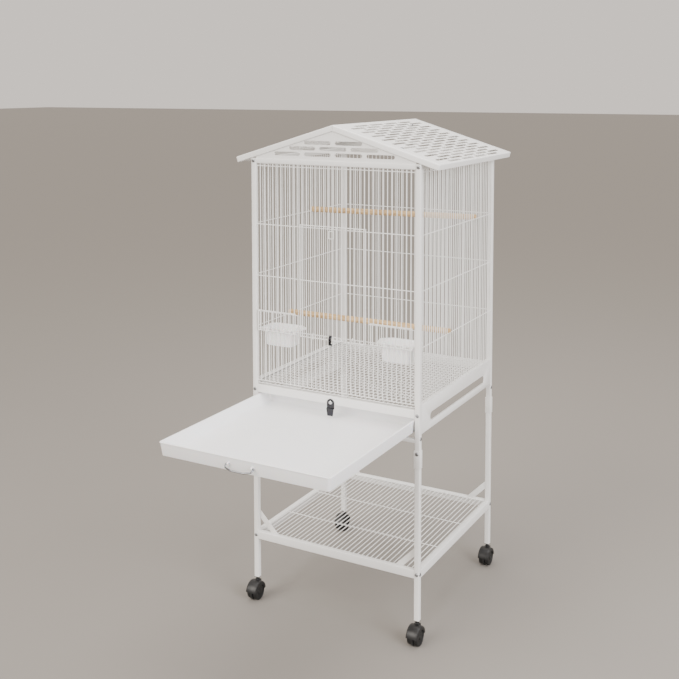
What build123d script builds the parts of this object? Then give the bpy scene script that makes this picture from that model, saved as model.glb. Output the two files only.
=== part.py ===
from build123d import *
import os
from math import atan2, cos, degrees, hypot, radians, sin

# Bird cage on a rolling stand. Millimetres, +Z up, +X right, front towards -Y.
# Origin: on the floor, at the centre of the four corner posts.

os.makedirs("parts", exist_ok=True)

# ---------------------------------------------------------------- driving dimensions
WIDTH = 457.0            # outside of the corner posts, along X
DEPTH = 480.0            # outside of the corner posts, along Y
TUBE = 12.7              # square tube of posts and legs
TUBE_WALL = 1.2
SHEET = 1.0              # folded steel sheet
WIRE = 2.2               # cage wire
PITCH = 12.0             # wire spacing, centre to centre
GAP = 0.2                # clearance between a panel and its neighbours

LEG_BOTTOM = 55.0        # the legs end above the casters
SOCKET_HEIGHT = 24.0     # plastic plug inside each leg end, for the caster stem
SOCKET_LIP = (11.5, 1.5) # width and height of its lip below the leg
JOINT_Z = 440.0          # cage posts stand on the legs here
POST_TOP = 1127.0
TOP_RAIL_BOTTOM = 1114.3
SLEEVE_Z = (420.0, 463.0)
SLEEVE_SIZE = 15.1

FRONT_RAIL_Z = (537.5, 557.5)
REAR_RAIL_Z = (539.0, 555.5)
SKIRT_Z = (500.0, 567.5)
SKIRT_SLOT_Z = (517.0, 537.5)
SKIRT_SLOT_HALF = 177.0
CROSS_BAR_Z = (480.0, 489.0)
TRAY_GUIDE_X = 205.0     # inner edge of the flange the tray slides on
RUNNER_X = 212.0         # inner edge of the angle the grate slides on
RUNNER_Z = (546.0, 556.5)
GRATE_Z = 563.0
GRATE_CROSS_PITCH = 60.0

PERCH_WIRE_HIGH = 963.0  # horizontal wires that run round all four sides
MIDDLE_WIRE = 834.0
PERCH_WIRE_LOW = 702.0
FEEDER_WIRE = 744.0      # extra wire over each feeder opening
TOP_WIRE = 1108.0
FRONT_PANEL_BOTTOM = 568.0

ROOF_APEX = 1212.0
ROOF_EAVE = (275.2, 1127.5)
ROOF_LIP = 13.5
SLOT = (73.0, 9.5)       # ventilation slot, length and width
SLOT_PITCH = (84.0, 14.2)
GABLE_ROW_Z = 1140.3
GABLE_CROWN = 1199.5     # the gable's top edge, and how much it drops per millimetre
GABLE_DROP = 0.316

DOOR_HALF = 90.0
DOOR_Z = (694.0, 970.0)
DOOR_OPENING_HALF = 84.0
FEEDER_X = (108.0, 204.0)
FEEDER_OVERLAP = 6.0
BOWL_CENTRE = (162.0, -202.0)
BOWL_PLAN = (82.0, 57.0, 12.0)   # length, width and corner radius
BOWL_Z = (658.0, 702.0)
BOWL_WALL = 2.2
BOWL_RIM = ((100, -186), (114, -235), (212, -235), (212, -180), (198, -166), (126, -166))
BOWL_RIM_HEIGHT = 3.0
BOWL_HOOKS_X = (138.0, 186.0)

TRAY_SIZE = (428.0, 455.0)
TRAY_Z = (502.0, 533.0)
TRAY_FRONT_Y = -640.0    # the tray stands drawn out
TRAY_WALL = 2.5
TRAY_LIP = 1.5
TRAY_TAPER = 3.0
TRAY_CORNER = 6.0
TRAY_FLOOR_INSET = 8.0   # the inner walls slope in this far down to the floor
HANDLE_Z = 518.0
HANDLE_HALF = 36.0
HANDLE_RADIUS = 1.7
HANDLE_DROOP = 35.0      # degrees below level
LATCH_PIVOT = (-5.0, 542.8)
LATCH_HALF = 10.0

SHELF_RAIL_Z = (156.0, 176.0)
SHELF_CROSS_WIRES = (-93.0, 60.0)
BRACE_REACH = (32.0, 52.0)   # inner and outer legs of each corner brace
PERCH_DIAMETER = 15.0
PERCH_ENDS = {"upper": (60.0, 108.0), "lower": (-60.0, -60.0)}   # Y at the left and right ends

SCREW_HEAD = (4.5, 2.2)      # radius and height
ROOF_SCREW_HEAD = (3.5, 1.8)
POST_SCREWS_Z = (1120.0, 545.0)
SIDE_SCREW_Z = 490.0
ROOF_SCREWS = ((42.0, 126.0), (152.0, 168.0), (176.0, -211.0))   # run down the slope, Y

CASTER_WHEEL = 42.0
CASTER_WHEEL_WIDTH = 10.5
CASTER_WEB = 6.0
CASTER_HOOD = 4.5        # from the wheel's rim to the outside of the hood
CASTER_TRAIL = -10.0     # the wheels trail towards the front
STEM_RADIUS = 4.0
STEM_TOP = 78.0
COLLAR_RADIUS = 5.5

# ---------------------------------------------------------------- derived positions
POST_X = (WIDTH - TUBE) / 2
POST_Y = (DEPTH - TUBE) / 2
INNER_X = WIDTH / 2 - TUBE
INNER_Y = DEPTH / 2 - TUBE
FRONT_WIRES_Y = -(DEPTH / 2 - 3)
SIDE_WIRES_X = WIDTH / 2 - 3
DOOR_Y = FRONT_WIRES_Y - WIRE - 0.6
FEEDER_DOOR_Y = DOOR_Y - 2.1
ROOF_SLOPE = degrees(atan2(ROOF_APEX - ROOF_EAVE[1], ROOF_EAVE[0]))
ROOF_RUN = hypot(ROOF_EAVE[0], ROOF_APEX - ROOF_EAVE[1])
CORNERS = {"front_left": (-1, -1), "front_right": (1, -1), "rear_left": (-1, 1), "rear_right": (1, 1)}
SIDES = {"left": -1, "right": 1}

parts = {}


# ---------------------------------------------------------------- helpers
def block(x, y, z):
    """A box between two corners, given as (low, high) pairs."""
    return Pos(sum(x) / 2, sum(y) / 2, sum(z) / 2) * Box(x[1] - x[0], y[1] - y[0], z[1] - z[0])


def square_tube(centre, z, size=TUBE, wall=TUBE_WALL):
    """An upright square tube, open at both ends."""
    outer = Box(size, size, z[1] - z[0])
    inner = Box(size - 2 * wall, size - 2 * wall, z[1] - z[0])
    return Pos(centre[0], centre[1], sum(z) / 2) * (outer - inner)


def rail_x(x, y, z, wall=TUBE_WALL):
    """A rectangular tube along X, open at its ends."""
    inner = block(x, (y[0] + wall, y[1] - wall), (z[0] + wall, z[1] - wall))
    return block(x, y, z) - inner


def rail_y(x, y, z, wall=TUBE_WALL):
    """A rectangular tube along Y, open at its ends."""
    inner = block((x[0] + wall, x[1] - wall), y, (z[0] + wall, z[1] - wall))
    return block(x, y, z) - inner


def upright_face(outline, holes):
    """A face in the XY sketch plane from one outline and a list of hole wires."""
    return Face(outline.outer_wire(), [hole.outer_wire() for hole in holes])


def rectangle(u, v):
    return Pos(sum(u) / 2, sum(v) / 2) * Rectangle(u[1] - u[0], v[1] - v[0]).face()


def grid(us, vs, joined=()):
    """A flat wire grid: wire centre lines at us and vs, the outer ones making its border.
    Each box in joined (u0, u1, v0, v1) is one large opening without wires."""
    half = WIRE / 2

    def inside(u, v, box):
        return box[0] < u < box[1] and box[2] < v < box[3]

    holes = []
    for u0, u1 in zip(us, us[1:]):
        for v0, v1 in zip(vs, vs[1:]):
            middle = ((u0 + u1) / 2, (v0 + v1) / 2)
            if not any(inside(*middle, box) for box in joined):
                holes.append(rectangle((u0 + half, u1 - half), (v0 + half, v1 - half)))
    for box in joined:
        holes.append(rectangle((box[0] + half, box[1] - half), (box[2] + half, box[3] - half)))
    border = rectangle((us[0] - half, us[-1] + half), (vs[0] - half, vs[-1] + half))
    return extrude(upright_face(border, holes), WIRE / 2, both=True)


def wires_between(low, high, pitch=PITCH):
    """Wire lines on multiples of the pitch, with one more at each end of the span."""
    count = int((high - PITCH / 2) // pitch)
    first = int(-((-low - PITCH / 2) // pitch))
    return [low + WIRE / 2] + [pitch * i for i in range(first, count + 1)] + [high - WIRE / 2]


def stand_front(shape, y):
    """Turn a flat shape from the XY plane to face -Y at depth y."""
    return Pos(0, y, 0) * Rot(90, 0, 0) * shape


def stand_side(shape, x):
    """Turn a flat shape from the XY plane to the YZ plane at x."""
    return Pos(x, 0, 0) * Rot(0, 0, 90) * Rot(90, 0, 0) * shape


def slot_rows(rows, width):
    """Full-round slots in brick rows: rows is a list of (height, half width, shifted)."""
    slots = []
    for height, reach, shifted in rows:
        start = SLOT_PITCH[0] / 2 if shifted else 0.0
        places = [start + SLOT_PITCH[0] * i for i in range(-width, width + 1)]
        for u in places:
            if abs(u) + SLOT[0] / 2 <= reach:
                slots.append(Pos(u, height) * SlotOverall(*SLOT).face())
    return slots


def screw_head(radius, height):
    """A low domed head with a cross recess, standing on the XY plane."""
    head = Cylinder(radius, height, align=(Align.CENTER, Align.CENTER, Align.MIN))
    head = fillet(head.edges().group_by(Axis.Z)[-1], height * 0.7)
    for angle in (0, 90):
        head -= Pos(0, 0, height) * Rot(0, 0, angle) * Box(radius * 0.9, 0.9, 1.6)
    return head


def keep(name, shape):
    """Store one named sub-part; a list is kept as separate solids."""
    parts[name] = shape if not isinstance(shape, list) else Compound(children=[s.solid() for s in shape])


# ---------------------------------------------------------------- posts, legs and sleeves
def make_uprights():
    sleeves = []
    plugs = []
    for name, (sx, sy) in CORNERS.items():
        place = (sx * POST_X, sy * POST_Y)
        keep(f"post_{name}", square_tube(place, (JOINT_Z, POST_TOP)))
        keep(f"leg_{name}", square_tube(place, (LEG_BOTTOM, JOINT_Z - GAP)))
        sleeves.append(square_tube(place, SLEEVE_Z, SLEEVE_SIZE, (SLEEVE_SIZE - TUBE) / 2 - 0.05))
        bore = TUBE - 2 * TUBE_WALL - 0.1
        plug = Pos(0, 0, SOCKET_HEIGHT / 2) * Box(bore, bore, SOCKET_HEIGHT)
        plug += Pos(0, 0, -SOCKET_LIP[1] / 2 - 0.05) * Box(SOCKET_LIP[0], SOCKET_LIP[0], SOCKET_LIP[1])
        plug += Box(bore, bore, 0.4)
        plug -= Cylinder(STEM_RADIUS + 0.05, 3 * SOCKET_HEIGHT)
        plugs.append(Pos(*place, LEG_BOTTOM) * plug)
    keep("joint_sleeves", sleeves)
    keep("caster_sockets", plugs)


def make_rails():
    front = (-DEPTH / 2, -INNER_Y)
    rear = (INNER_Y, DEPTH / 2)
    span_x = (-INNER_X + GAP, INNER_X - GAP)
    span_y = (-INNER_Y + GAP, INNER_Y - GAP)
    top = (TOP_RAIL_BOTTOM, POST_TOP)
    keep("top_rail_front", rail_x(span_x, front, top))
    keep("top_rail_rear", rail_x(span_x, rear, top))
    keep("bottom_rail_front", rail_x(span_x, front, FRONT_RAIL_Z))
    keep("bottom_rail_rear", rail_x(span_x, rear, REAR_RAIL_Z))
    keep("tray_cross_bar", rail_x(span_x, front, CROSS_BAR_Z, wall=1.0))
    keep("shelf_rail_front", rail_x(span_x, front, SHELF_RAIL_Z))
    keep("shelf_rail_rear", rail_x(span_x, rear, SHELF_RAIL_Z))
    for side, s in SIDES.items():
        across = tuple(sorted((s * INNER_X, s * WIDTH / 2)))
        keep(f"top_rail_{side}", rail_y(across, span_y, top))
        keep(f"shelf_rail_{side}", rail_y(across, span_y, SHELF_RAIL_Z))


# ---------------------------------------------------------------- wire panels
def make_wire_panels():
    xs = wires_between(-INNER_X + GAP, INNER_X - GAP)
    ys = wires_between(-INNER_Y + GAP, INNER_Y - GAP)
    levels = [PERCH_WIRE_LOW, MIDDLE_WIRE, PERCH_WIRE_HIGH, TOP_WIRE]
    top = TOP_RAIL_BOTTOM - GAP - WIRE / 2

    front_levels = [FRONT_PANEL_BOTTOM + WIRE / 2] + sorted(levels + [FEEDER_WIRE]) + [top]
    opening = (-DOOR_OPENING_HALF, DOOR_OPENING_HALF, PERCH_WIRE_LOW, PERCH_WIRE_HIGH)
    feeders = [(s * FEEDER_X[0], s * FEEDER_X[1], PERCH_WIRE_LOW, FEEDER_WIRE) for s in SIDES.values()]
    feeders = [(min(f[0], f[1]), max(f[0], f[1]), f[2], f[3]) for f in feeders]
    keep("front_panel", stand_front(grid(xs, front_levels, [opening] + feeders), FRONT_WIRES_Y))

    rear_levels = [REAR_RAIL_Z[1] + GAP + WIRE / 2] + levels + [top]
    keep("rear_panel", stand_front(grid(xs, rear_levels), -FRONT_WIRES_Y))

    side_levels = [SKIRT_Z[1] + GAP + WIRE / 2] + levels + [top]
    for side, s in SIDES.items():
        keep(f"{side}_panel", stand_side(grid(ys, side_levels), s * SIDE_WIRES_X))


# ---------------------------------------------------------------- side skirts and runners
def make_skirts():
    runners = []
    length = (-INNER_Y + GAP, INNER_Y - GAP)
    outer = WIDTH / 2 - 0.5
    for side, s in SIDES.items():
        def span(a, b):
            return tuple(sorted((s * a, s * b)))

        sheet = block(span(outer - SHEET, outer), length, SKIRT_Z)
        sheet += block(span(TRAY_GUIDE_X, outer), length, (SKIRT_Z[0], SKIRT_Z[0] + SHEET))
        sheet += block(span(outer - TUBE, outer), length, (SKIRT_Z[1] - SHEET, SKIRT_Z[1]))
        slot_height = SKIRT_SLOT_Z[1] - SKIRT_SLOT_Z[0]
        cutter = extrude(SlotOverall(2 * SKIRT_SLOT_HALF, slot_height).face(), 5, both=True)
        sheet -= Pos(0, 0, sum(SKIRT_SLOT_Z) / 2) * stand_side(cutter, s * outer)
        keep(f"side_skirt_{side}", sheet)
        inner = outer - SHEET - 0.05
        runner = block(span(inner - SHEET, inner), length, RUNNER_Z)
        runner += block(span(RUNNER_X, inner), length, (RUNNER_Z[1] - SHEET, RUNNER_Z[1]))
        runners.append(runner)
    keep("grate_runners", runners)


# ---------------------------------------------------------------- roof
def roof_slope_panel():
    """One roof slope in its own plane: u along Y, v down the slope, lips folded under."""
    half = DEPTH / 2
    outline = rectangle((-half, half), (0.6, ROOF_RUN))
    rows = []
    for i in range(1, int(ROOF_RUN // SLOT_PITCH[1])):
        rows.append((i * SLOT_PITCH[1] + 6.0, half - 14.0, i % 2 == 1))
    rows = [row for row in rows if row[0] < ROOF_RUN - 12.0]
    panel = extrude(upright_face(outline, slot_rows(rows, 4)), -SHEET)
    for side in (-1, 1):
        edge = tuple(sorted((side * half, side * (half - SHEET))))
        panel += block(edge, (0.6, ROOF_RUN), (-ROOF_LIP, 0))
    panel += block((-half, half), (ROOF_RUN - SHEET, ROOF_RUN), (-ROOF_LIP, 0))
    return panel.solid()


def make_roof():
    panel = roof_slope_panel()
    right = Pos(0, 0, ROOF_APEX) * Rot(0, ROOF_SLOPE, 0) * Rot(0, 0, -90) * panel
    right -= block((-50, GAP / 2), (-DEPTH, DEPTH), (ROOF_EAVE[1], ROOF_APEX + 10))
    keep("roof_right", right)
    keep("roof_left", mirror(right, Plane.YZ))

    base = POST_TOP + GAP
    reach = INNER_X
    shoulder = GABLE_CROWN - GABLE_DROP * reach
    corners = [(-reach, base), (reach, base), (reach, shoulder), (0, GABLE_CROWN), (-reach, shoulder)]
    outline = make_face(Polyline(*corners, close=True))
    rows = []
    for i in range(3):
        height = GABLE_ROW_Z + i * SLOT_PITCH[1]
        fits = (GABLE_CROWN - 11.0 - height) / GABLE_DROP
        rows.append((height, min(reach, fits + SLOT[0] * 0.25), i % 2 == 0))
    gable = extrude(upright_face(outline.face(), slot_rows(rows, 2)), SHEET / 2, both=True)
    for end, s in {"front": -1, "rear": 1}.items():
        keep(f"gable_{end}", stand_front(gable, s * (DEPTH / 2 - 3.0)))


# ---------------------------------------------------------------- shelf
def make_shelf():
    inner_x = INNER_X - 1.0
    inner_y = INNER_Y - 1.0
    xs = wires_between(-inner_x, inner_x)
    ys = [-inner_y + WIRE / 2, *SHELF_CROSS_WIRES, inner_y - WIRE / 2]
    keep("shelf_wires", Pos(0, 0, SHELF_RAIL_Z[1] - WIRE) * grid(xs, ys))

    near, far = BRACE_REACH
    strip = make_face(Polyline((near, 0), (far, 0), (0, far), (0, near), close=True))
    strip = extrude(strip.face(), 0.75, both=True)
    braces = []
    for sx, sy in CORNERS.values():
        brace = Pos(-INNER_X + GAP, 0, SHELF_RAIL_Z[1] + GAP) * stand_front(strip, sy * (INNER_Y + 2.0))
        braces.append(mirror(brace, Plane.YZ) if sx > 0 else brace)
    keep("shelf_braces", braces)


# ---------------------------------------------------------------- screws
def make_screws():
    cage = []
    leg = []
    lower = SLEEVE_Z[1] - 8.0
    for sx, sy in CORNERS.values():
        face_y = Rot(90 if sy < 0 else -90, 0, 0)
        face_x = Rot(0, 90 if sx > 0 else -90, 0)
        for z in POST_SCREWS_Z:
            cage.append(Pos(sx * POST_X, sy * DEPTH / 2, z) * face_y * screw_head(*SCREW_HEAD))
        cage.append(Pos(sx * WIDTH / 2, sy * POST_Y, SIDE_SCREW_Z) * face_x * screw_head(*SCREW_HEAD))
        sleeve = POST_Y + SLEEVE_SIZE / 2
        leg.append(Pos(sx * POST_X, sy * sleeve, lower) * face_y * screw_head(*SCREW_HEAD))
        shelf = sum(SHELF_RAIL_Z) / 2
        leg.append(Pos(sx * POST_X, sy * DEPTH / 2, shelf) * face_y * screw_head(*SCREW_HEAD))
        leg.append(Pos(sx * WIDTH / 2, sy * POST_Y, shelf) * face_x * screw_head(*SCREW_HEAD))
    keep("leg_screws", leg)

    tilt = radians(ROOF_SLOPE)
    for sx in (-1, 1):
        for run, y in ROOF_SCREWS:
            spot = Pos(sx * run * cos(tilt), y, ROOF_APEX - run * sin(tilt))
            cage.append(spot * Rot(0, sx * ROOF_SLOPE, 0) * screw_head(*ROOF_SCREW_HEAD))
    keep("cage_screws", cage)


# ---------------------------------------------------------------- doors
def oval_link(half_width, straight, radius):
    """A closed wire link in the YZ plane, long along Z."""
    path = SlotOverall(straight + 2 * half_width, 2 * half_width, rotation=90).face().outer_wire()
    start = path @ 0
    section = Plane(start, z_dir=path % 0) * Circle(radius)
    link = sweep(section, path)
    return Rot(0, 0, 90) * Rot(90, 0, 0) * link


def make_doors():
    half = WIRE / 2
    xs = [-DOOR_HALF + half] + [PITCH * i for i in range(-7, 8)] + [DOOR_HALF - half]
    zs = [DOOR_Z[0] + half, MIDDLE_WIRE, DOOR_Z[1] - half]
    keep("front_door", stand_front(grid(xs, zs), DOOR_Y))

    links = []
    for x in (-54.0, 54.0):
        middle = (DOOR_Z[0] + half + PERCH_WIRE_LOW) / 2
        place = Pos(x, (DOOR_Y + FRONT_WIRES_Y) / 2, middle)
        links.append(place * oval_link(3.8, PERCH_WIRE_LOW - DOOR_Z[0] - half, 0.9))
    keep("door_hinge_links", links)

    loop_z = (940.0, 960.0)
    outer = RectangleRounded(16.0, loop_z[1] - loop_z[0], 4.0)
    inner = RectangleRounded(16.0 - 2 * 2.0, loop_z[1] - loop_z[0] - 2 * 2.0, 2.2)
    loop = extrude((outer - inner).face(), 1.0, both=True)
    keep("door_latch", Pos(-2.0, 0, sum(loop_z) / 2) * stand_front(loop, DOOR_Y - half - 1.4))

    centre = (FRONT_WIRES_Y, PERCH_WIRE_LOW)
    inner_r = 2.4
    strip = 1.2
    hook = Circle(inner_r + strip) - Circle(inner_r)
    hook -= Pos(0, -10) * Rectangle(30, 20)
    back = rectangle((inner_r, inner_r + strip), (-3.0, 0.2))
    front_y = -(inner_r + strip + 1.6)
    shank = make_face(Polyline((-inner_r, 0.2), (-inner_r - strip, 0.2), (front_y - strip, -3.4),
                               (front_y - strip, -17.0), (front_y, -17.0), (front_y, -3.8),
                               (-inner_r, -1.0), close=True))
    curl_r = 2.4
    curl = Pos(front_y + curl_r, -17.0) * (Circle(curl_r + strip) - Circle(curl_r))
    curl -= Pos(front_y + curl_r, -7.0) * Rectangle(30, 20)
    profile = hook + back + shank + curl
    clip = extrude(profile.face(), 3.5, both=True)
    clip = Rot(0, 0, 90) * Rot(90, 0, 0) * clip
    keep("door_clip", Pos(-6.0, centre[0], centre[1]) * clip)

    low = PERCH_WIRE_LOW - 5.0
    high = FEEDER_WIRE + 5.0
    for side, s in SIDES.items():
        edge = (FEEDER_X[0] - FEEDER_OVERLAP + half, FEEDER_X[1] + FEEDER_OVERLAP - half)
        xs = [edge[0]] + [PITCH * i for i in range(9, 18)] + [edge[1]]
        xs = sorted(s * x for x in xs)
        shutter = grid(xs, [low + half, high - half])
        keep(f"feeder_door_{side}", stand_front(shutter, FEEDER_DOOR_Y))


# ---------------------------------------------------------------- bowls and perches
def make_bowls():
    """Each cup hangs by two hooks on the wire under its opening."""
    floor_z, rim_z = BOWL_Z
    length, width, corner = BOWL_PLAN
    hook_y = FRONT_WIRES_Y - WIRE / 2 - 2.2
    over_z = (PERCH_WIRE_LOW + 1.4, PERCH_WIRE_LOW + 3.2)
    for side, s in SIDES.items():
        place = Pos(s * BOWL_CENTRE[0], BOWL_CENTRE[1], floor_z)
        body = place * extrude(RectangleRounded(length, width, corner).face(), rim_z - floor_z)
        rim = make_face(Polyline(*[(s * x, y) for x, y in BOWL_RIM], close=True))
        flange = Pos(0, 0, rim_z - BOWL_RIM_HEIGHT) * extrude(rim.face(), BOWL_RIM_HEIGHT, dir=(0, 0, 1))
        hollow = RectangleRounded(length - 2 * BOWL_WALL, width - 2 * BOWL_WALL, corner - 2.0).face()
        bowl = body + flange
        bowl -= place * Pos(0, 0, BOWL_WALL) * extrude(hollow, rim_z)
        for x in BOWL_HOOKS_X:
            arm = (x - 2.5, x + 2.5)
            over = block(arm, (hook_y, -228.0), over_z)
            down = block(arm, (hook_y, hook_y + 1.7), (PERCH_WIRE_LOW - 3.0, over_z[1]))
            web = block(arm, (BOWL_RIM[1][1], -228.0), (rim_z - BOWL_RIM_HEIGHT, over_z[1]))
            bowl += mirror(over + down + web, Plane.YZ) if s < 0 else over + down + web
        keep(f"feeder_bowl_{side}", bowl)


def make_perch(y_left, y_right, z):
    """A round perch whose cut ends sit on the side wires."""
    start = Vector(-SIDE_WIRES_X, y_left, z)
    end = Vector(SIDE_WIRES_X, y_right, z)
    turn = degrees(atan2(y_right - y_left, 2 * SIDE_WIRES_X))
    length = (end - start).length + 2 * 3.0
    rod = Cylinder(PERCH_DIAMETER / 2, length)
    rod = chamfer(rod.edges().filter_by(GeomType.CIRCLE), 0.8)
    perch = Pos(0, (y_left + y_right) / 2, z) * Rot(0, 0, turn) * Rot(0, 90, 0) * rod
    notch = WIRE / 2 + 0.45
    for s, y in ((-1, y_left), (1, y_right)):
        edge = SIDE_WIRES_X - notch
        outside = tuple(sorted((s * edge, s * (edge + 20))))
        perch -= block(outside, (y - 20, y + 20), (z - 20, z - 4 + notch))
        perch -= block(outside, (y - notch, y + notch), (z - 20, z + 20))
    return perch


# ---------------------------------------------------------------- grate, tray and tray latch
def make_grate():
    ys = [GRATE_CROSS_PITCH * i for i in range(-3, 4)]
    ys = [-DEPTH / 2 + 4.0] + ys + [INNER_Y - 3.0]
    xs = wires_between(-INNER_X + 1.5, INNER_X - 1.5)
    keep("floor_grate", Pos(0, 0, GRATE_Z) * grid(xs, ys))


def make_tray():
    low, high = TRAY_Z
    centre = TRAY_FRONT_Y + TRAY_SIZE[1] / 2
    body = (TRAY_SIZE[0] - 2 * TRAY_LIP, TRAY_SIZE[1] - 2 * TRAY_LIP)
    base = (body[0] - 2 * TRAY_TAPER, body[1] - 2 * TRAY_TAPER)
    corner = TRAY_CORNER
    top = Pos(0, 0, high) * RectangleRounded(*body, corner)
    bottom = Pos(0, 0, low) * RectangleRounded(*base, corner)
    shell = loft([bottom.face(), top.face()])
    rim = Pos(0, 0, high - 2.5) * extrude(RectangleRounded(*TRAY_SIZE, corner + TRAY_LIP).face(), 2.5)
    mouth = (body[0] - 2 * TRAY_WALL, body[1] - 2 * TRAY_WALL)
    inside_top = Pos(0, 0, high + 0.01) * RectangleRounded(*mouth, corner - TRAY_WALL)
    inside_low = Pos(0, 0, low + TRAY_WALL) * RectangleRounded(mouth[0] - 2 * TRAY_FLOOR_INSET,
                                                               mouth[1] - 2 * TRAY_FLOOR_INSET, corner)
    tray = shell + rim - loft([inside_low.face(), inside_top.face()])
    keep("tray", Pos(0, centre, 0) * tray)


def make_handle():
    """A bent wire bail held by two eyes on the tray's front wall."""
    wall_y = TRAY_FRONT_Y + TRAY_LIP + TRAY_TAPER * (TRAY_Z[1] - HANDLE_Z) / (TRAY_Z[1] - TRAY_Z[0])
    axis_y = wall_y - 3.4
    bow = [(HANDLE_HALF - 9, 0.0), (HANDLE_HALF, 0.0), (HANDLE_HALF - 4, 9.5), (HANDLE_HALF - 20, 14.5)]
    outline = [(-x, out) for x, out in bow] + [(x, out) for x, out in reversed(bow)]
    droop = radians(HANDLE_DROOP)
    points = [(x, axis_y - out * cos(droop), HANDLE_Z - out * sin(droop)) for x, out in outline]
    path = FilletPolyline(*points, radius=3.2)
    bail = sweep(Plane(path @ 0, z_dir=path % 0) * Circle(HANDLE_RADIUS), path)
    keep("tray_handle", bail)
    eyes = []
    for s in SIDES.values():
        x = s * (HANDLE_HALF - 6.5)
        along = Pos(x, axis_y, HANDLE_Z) * Rot(0, 90, 0)
        eye = along * Cylinder(3.0, 4.0)
        eye += block((x - 2, x + 2), (axis_y, wall_y - 0.65), (HANDLE_Z - 3.0, HANDLE_Z + 3.0))
        eyes.append(eye - along * Cylinder(HANDLE_RADIUS + 0.05, 20))
    keep("handle_eyes", eyes)


def make_tray_latch():
    pivot = LATCH_PIVOT
    half = LATCH_HALF
    plate_y = (-DEPTH / 2 - 1.5, -DEPTH / 2 - 0.3)
    tongue_y = (plate_y[0] - 3.0, plate_y[1] - 3.0)
    dome = Circle(half) + Pos(0, -6.9) * Rectangle(2 * half, 13.8)
    plate = extrude(dome.face(), (plate_y[1] - plate_y[0]) / 2, both=True)
    latch = Pos(pivot[0], 0, pivot[1] - 1.3) * stand_front(plate, sum(plate_y) / 2)
    step_z = pivot[1] - 14.8
    latch += block((pivot[0] - half, pivot[0] + half), (tongue_y[0], plate_y[1]), (step_z, step_z + 1.2))
    taper = make_face(Polyline((-half, 0.0), (-7.5, -18.0), (7.5, -18.0), (half, 0.0), close=True))
    tongue = extrude(taper.face(), 0.6, both=True)
    latch += Pos(pivot[0], 0, step_z + 0.6) * stand_front(tongue, sum(tongue_y) / 2)
    bore = Pos(pivot[0], -DEPTH / 2, pivot[1]) * Rot(90, 0, 0) * Cylinder(3.05, 20)
    keep("tray_latch", latch - bore)

    stem = Cylinder(3.0, 2.4, align=(Align.CENTER, Align.CENTER, Align.MIN))
    head = Pos(0, 0, 1.8) * Cylinder(5.5, 1.6, align=(Align.CENTER, Align.CENTER, Align.MIN))
    head = fillet(head.edges().group_by(Axis.Z)[-1], 1.0)
    keep("latch_rivet", Pos(pivot[0], -DEPTH / 2, pivot[1]) * Rot(90, 0, 0) * (stem + head))


# ---------------------------------------------------------------- casters
def make_casters():
    """Two wheels on one axle under a hood; the hood's stem turns in the leg's socket."""
    r = CASTER_WHEEL / 2
    wheel = CASTER_WHEEL_WIDTH
    web = CASTER_WEB
    hood_r = r + CASTER_HOOD
    hood_width = 2 * wheel + web + 3.0
    top = r + hood_r
    clear_r = r + 1.6
    clear_width = wheel + 1.7
    far = block((-50, 50), (-60, 60), (-20, r + 2.0))
    for name, (sx, sy) in CORNERS.items():
        stem = Pos(0, 0, (top - 3.0 + STEM_TOP) / 2) * Cylinder(STEM_RADIUS, STEM_TOP - top + 3.0)
        collar = Pos(0, 0, top + 0.5) * Cylinder(COLLAR_RADIUS, 3.0)
        at_axle = Pos(0, CASTER_TRAIL, r) * Rot(0, 90, 0)
        hood = at_axle * (Cylinder(hood_r, hood_width) - Cylinder(clear_r, hood_width)) - far
        centre_web = at_axle * Cylinder(r + 2.5, web) - block((-50, 50), (-60, 60), (-20, 6.0))
        boss = block((-7.5, 7.5), (CASTER_TRAIL - 2.0, 7.0), (top - 3.0, top))
        body = hood + centre_web + collar + stem + boss
        body -= at_axle * Cylinder(3.05, 60)
        for side in (-1, 1):
            space = Cylinder(clear_r, clear_width)
            body -= Pos(side * (web + clear_width) / 2, 0, 0) * at_axle * space
        place = Pos(sx * POST_X, sy * POST_Y, 0)
        keep(f"caster_hood_{name}", place * body)
        pair = Cylinder(3.0, 2 * wheel + web + 1.0)
        for side in (-1, 1):
            tyre = Cylinder(r, wheel)
            tyre = fillet(tyre.edges().filter_by(GeomType.CIRCLE), 1.5)
            pair += Pos(0, 0, side * (web / 2 + 0.4 + wheel / 2)) * tyre
        keep(f"caster_wheels_{name}", place * at_axle * pair)


make_uprights()
make_rails()
make_wire_panels()
make_skirts()
make_roof()
make_shelf()
make_screws()
make_doors()
make_bowls()
for level, wire_z in (("upper", PERCH_WIRE_HIGH), ("lower", PERCH_WIRE_LOW)):
    keep(f"perch_{level}", make_perch(*PERCH_ENDS[level], wire_z + 4.0))
make_grate()
make_tray()
make_handle()
make_tray_latch()
make_casters()

for name, shape in parts.items():
    export_step(shape, f"parts/{name}.step")
print(len(parts), "sub-parts written")
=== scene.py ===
# %% [markdown]
# # A bird cage on a rolling stand
#
# A tall flight cage is mostly air: a square-tube frame, four walls of thin welded wire, a folded
# sheet roof with ventilation slots, a pull-out litter tray, a wire shelf and four casters.
# The design model already holds every part at its real size and place. This notebook gives each
# part its finished shape and surface, without moving anything.

from math import atan2, cos, hypot, pi, radians, sin

import bmesh
import bpy
from mathutils import Euler, Matrix, Vector


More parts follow.
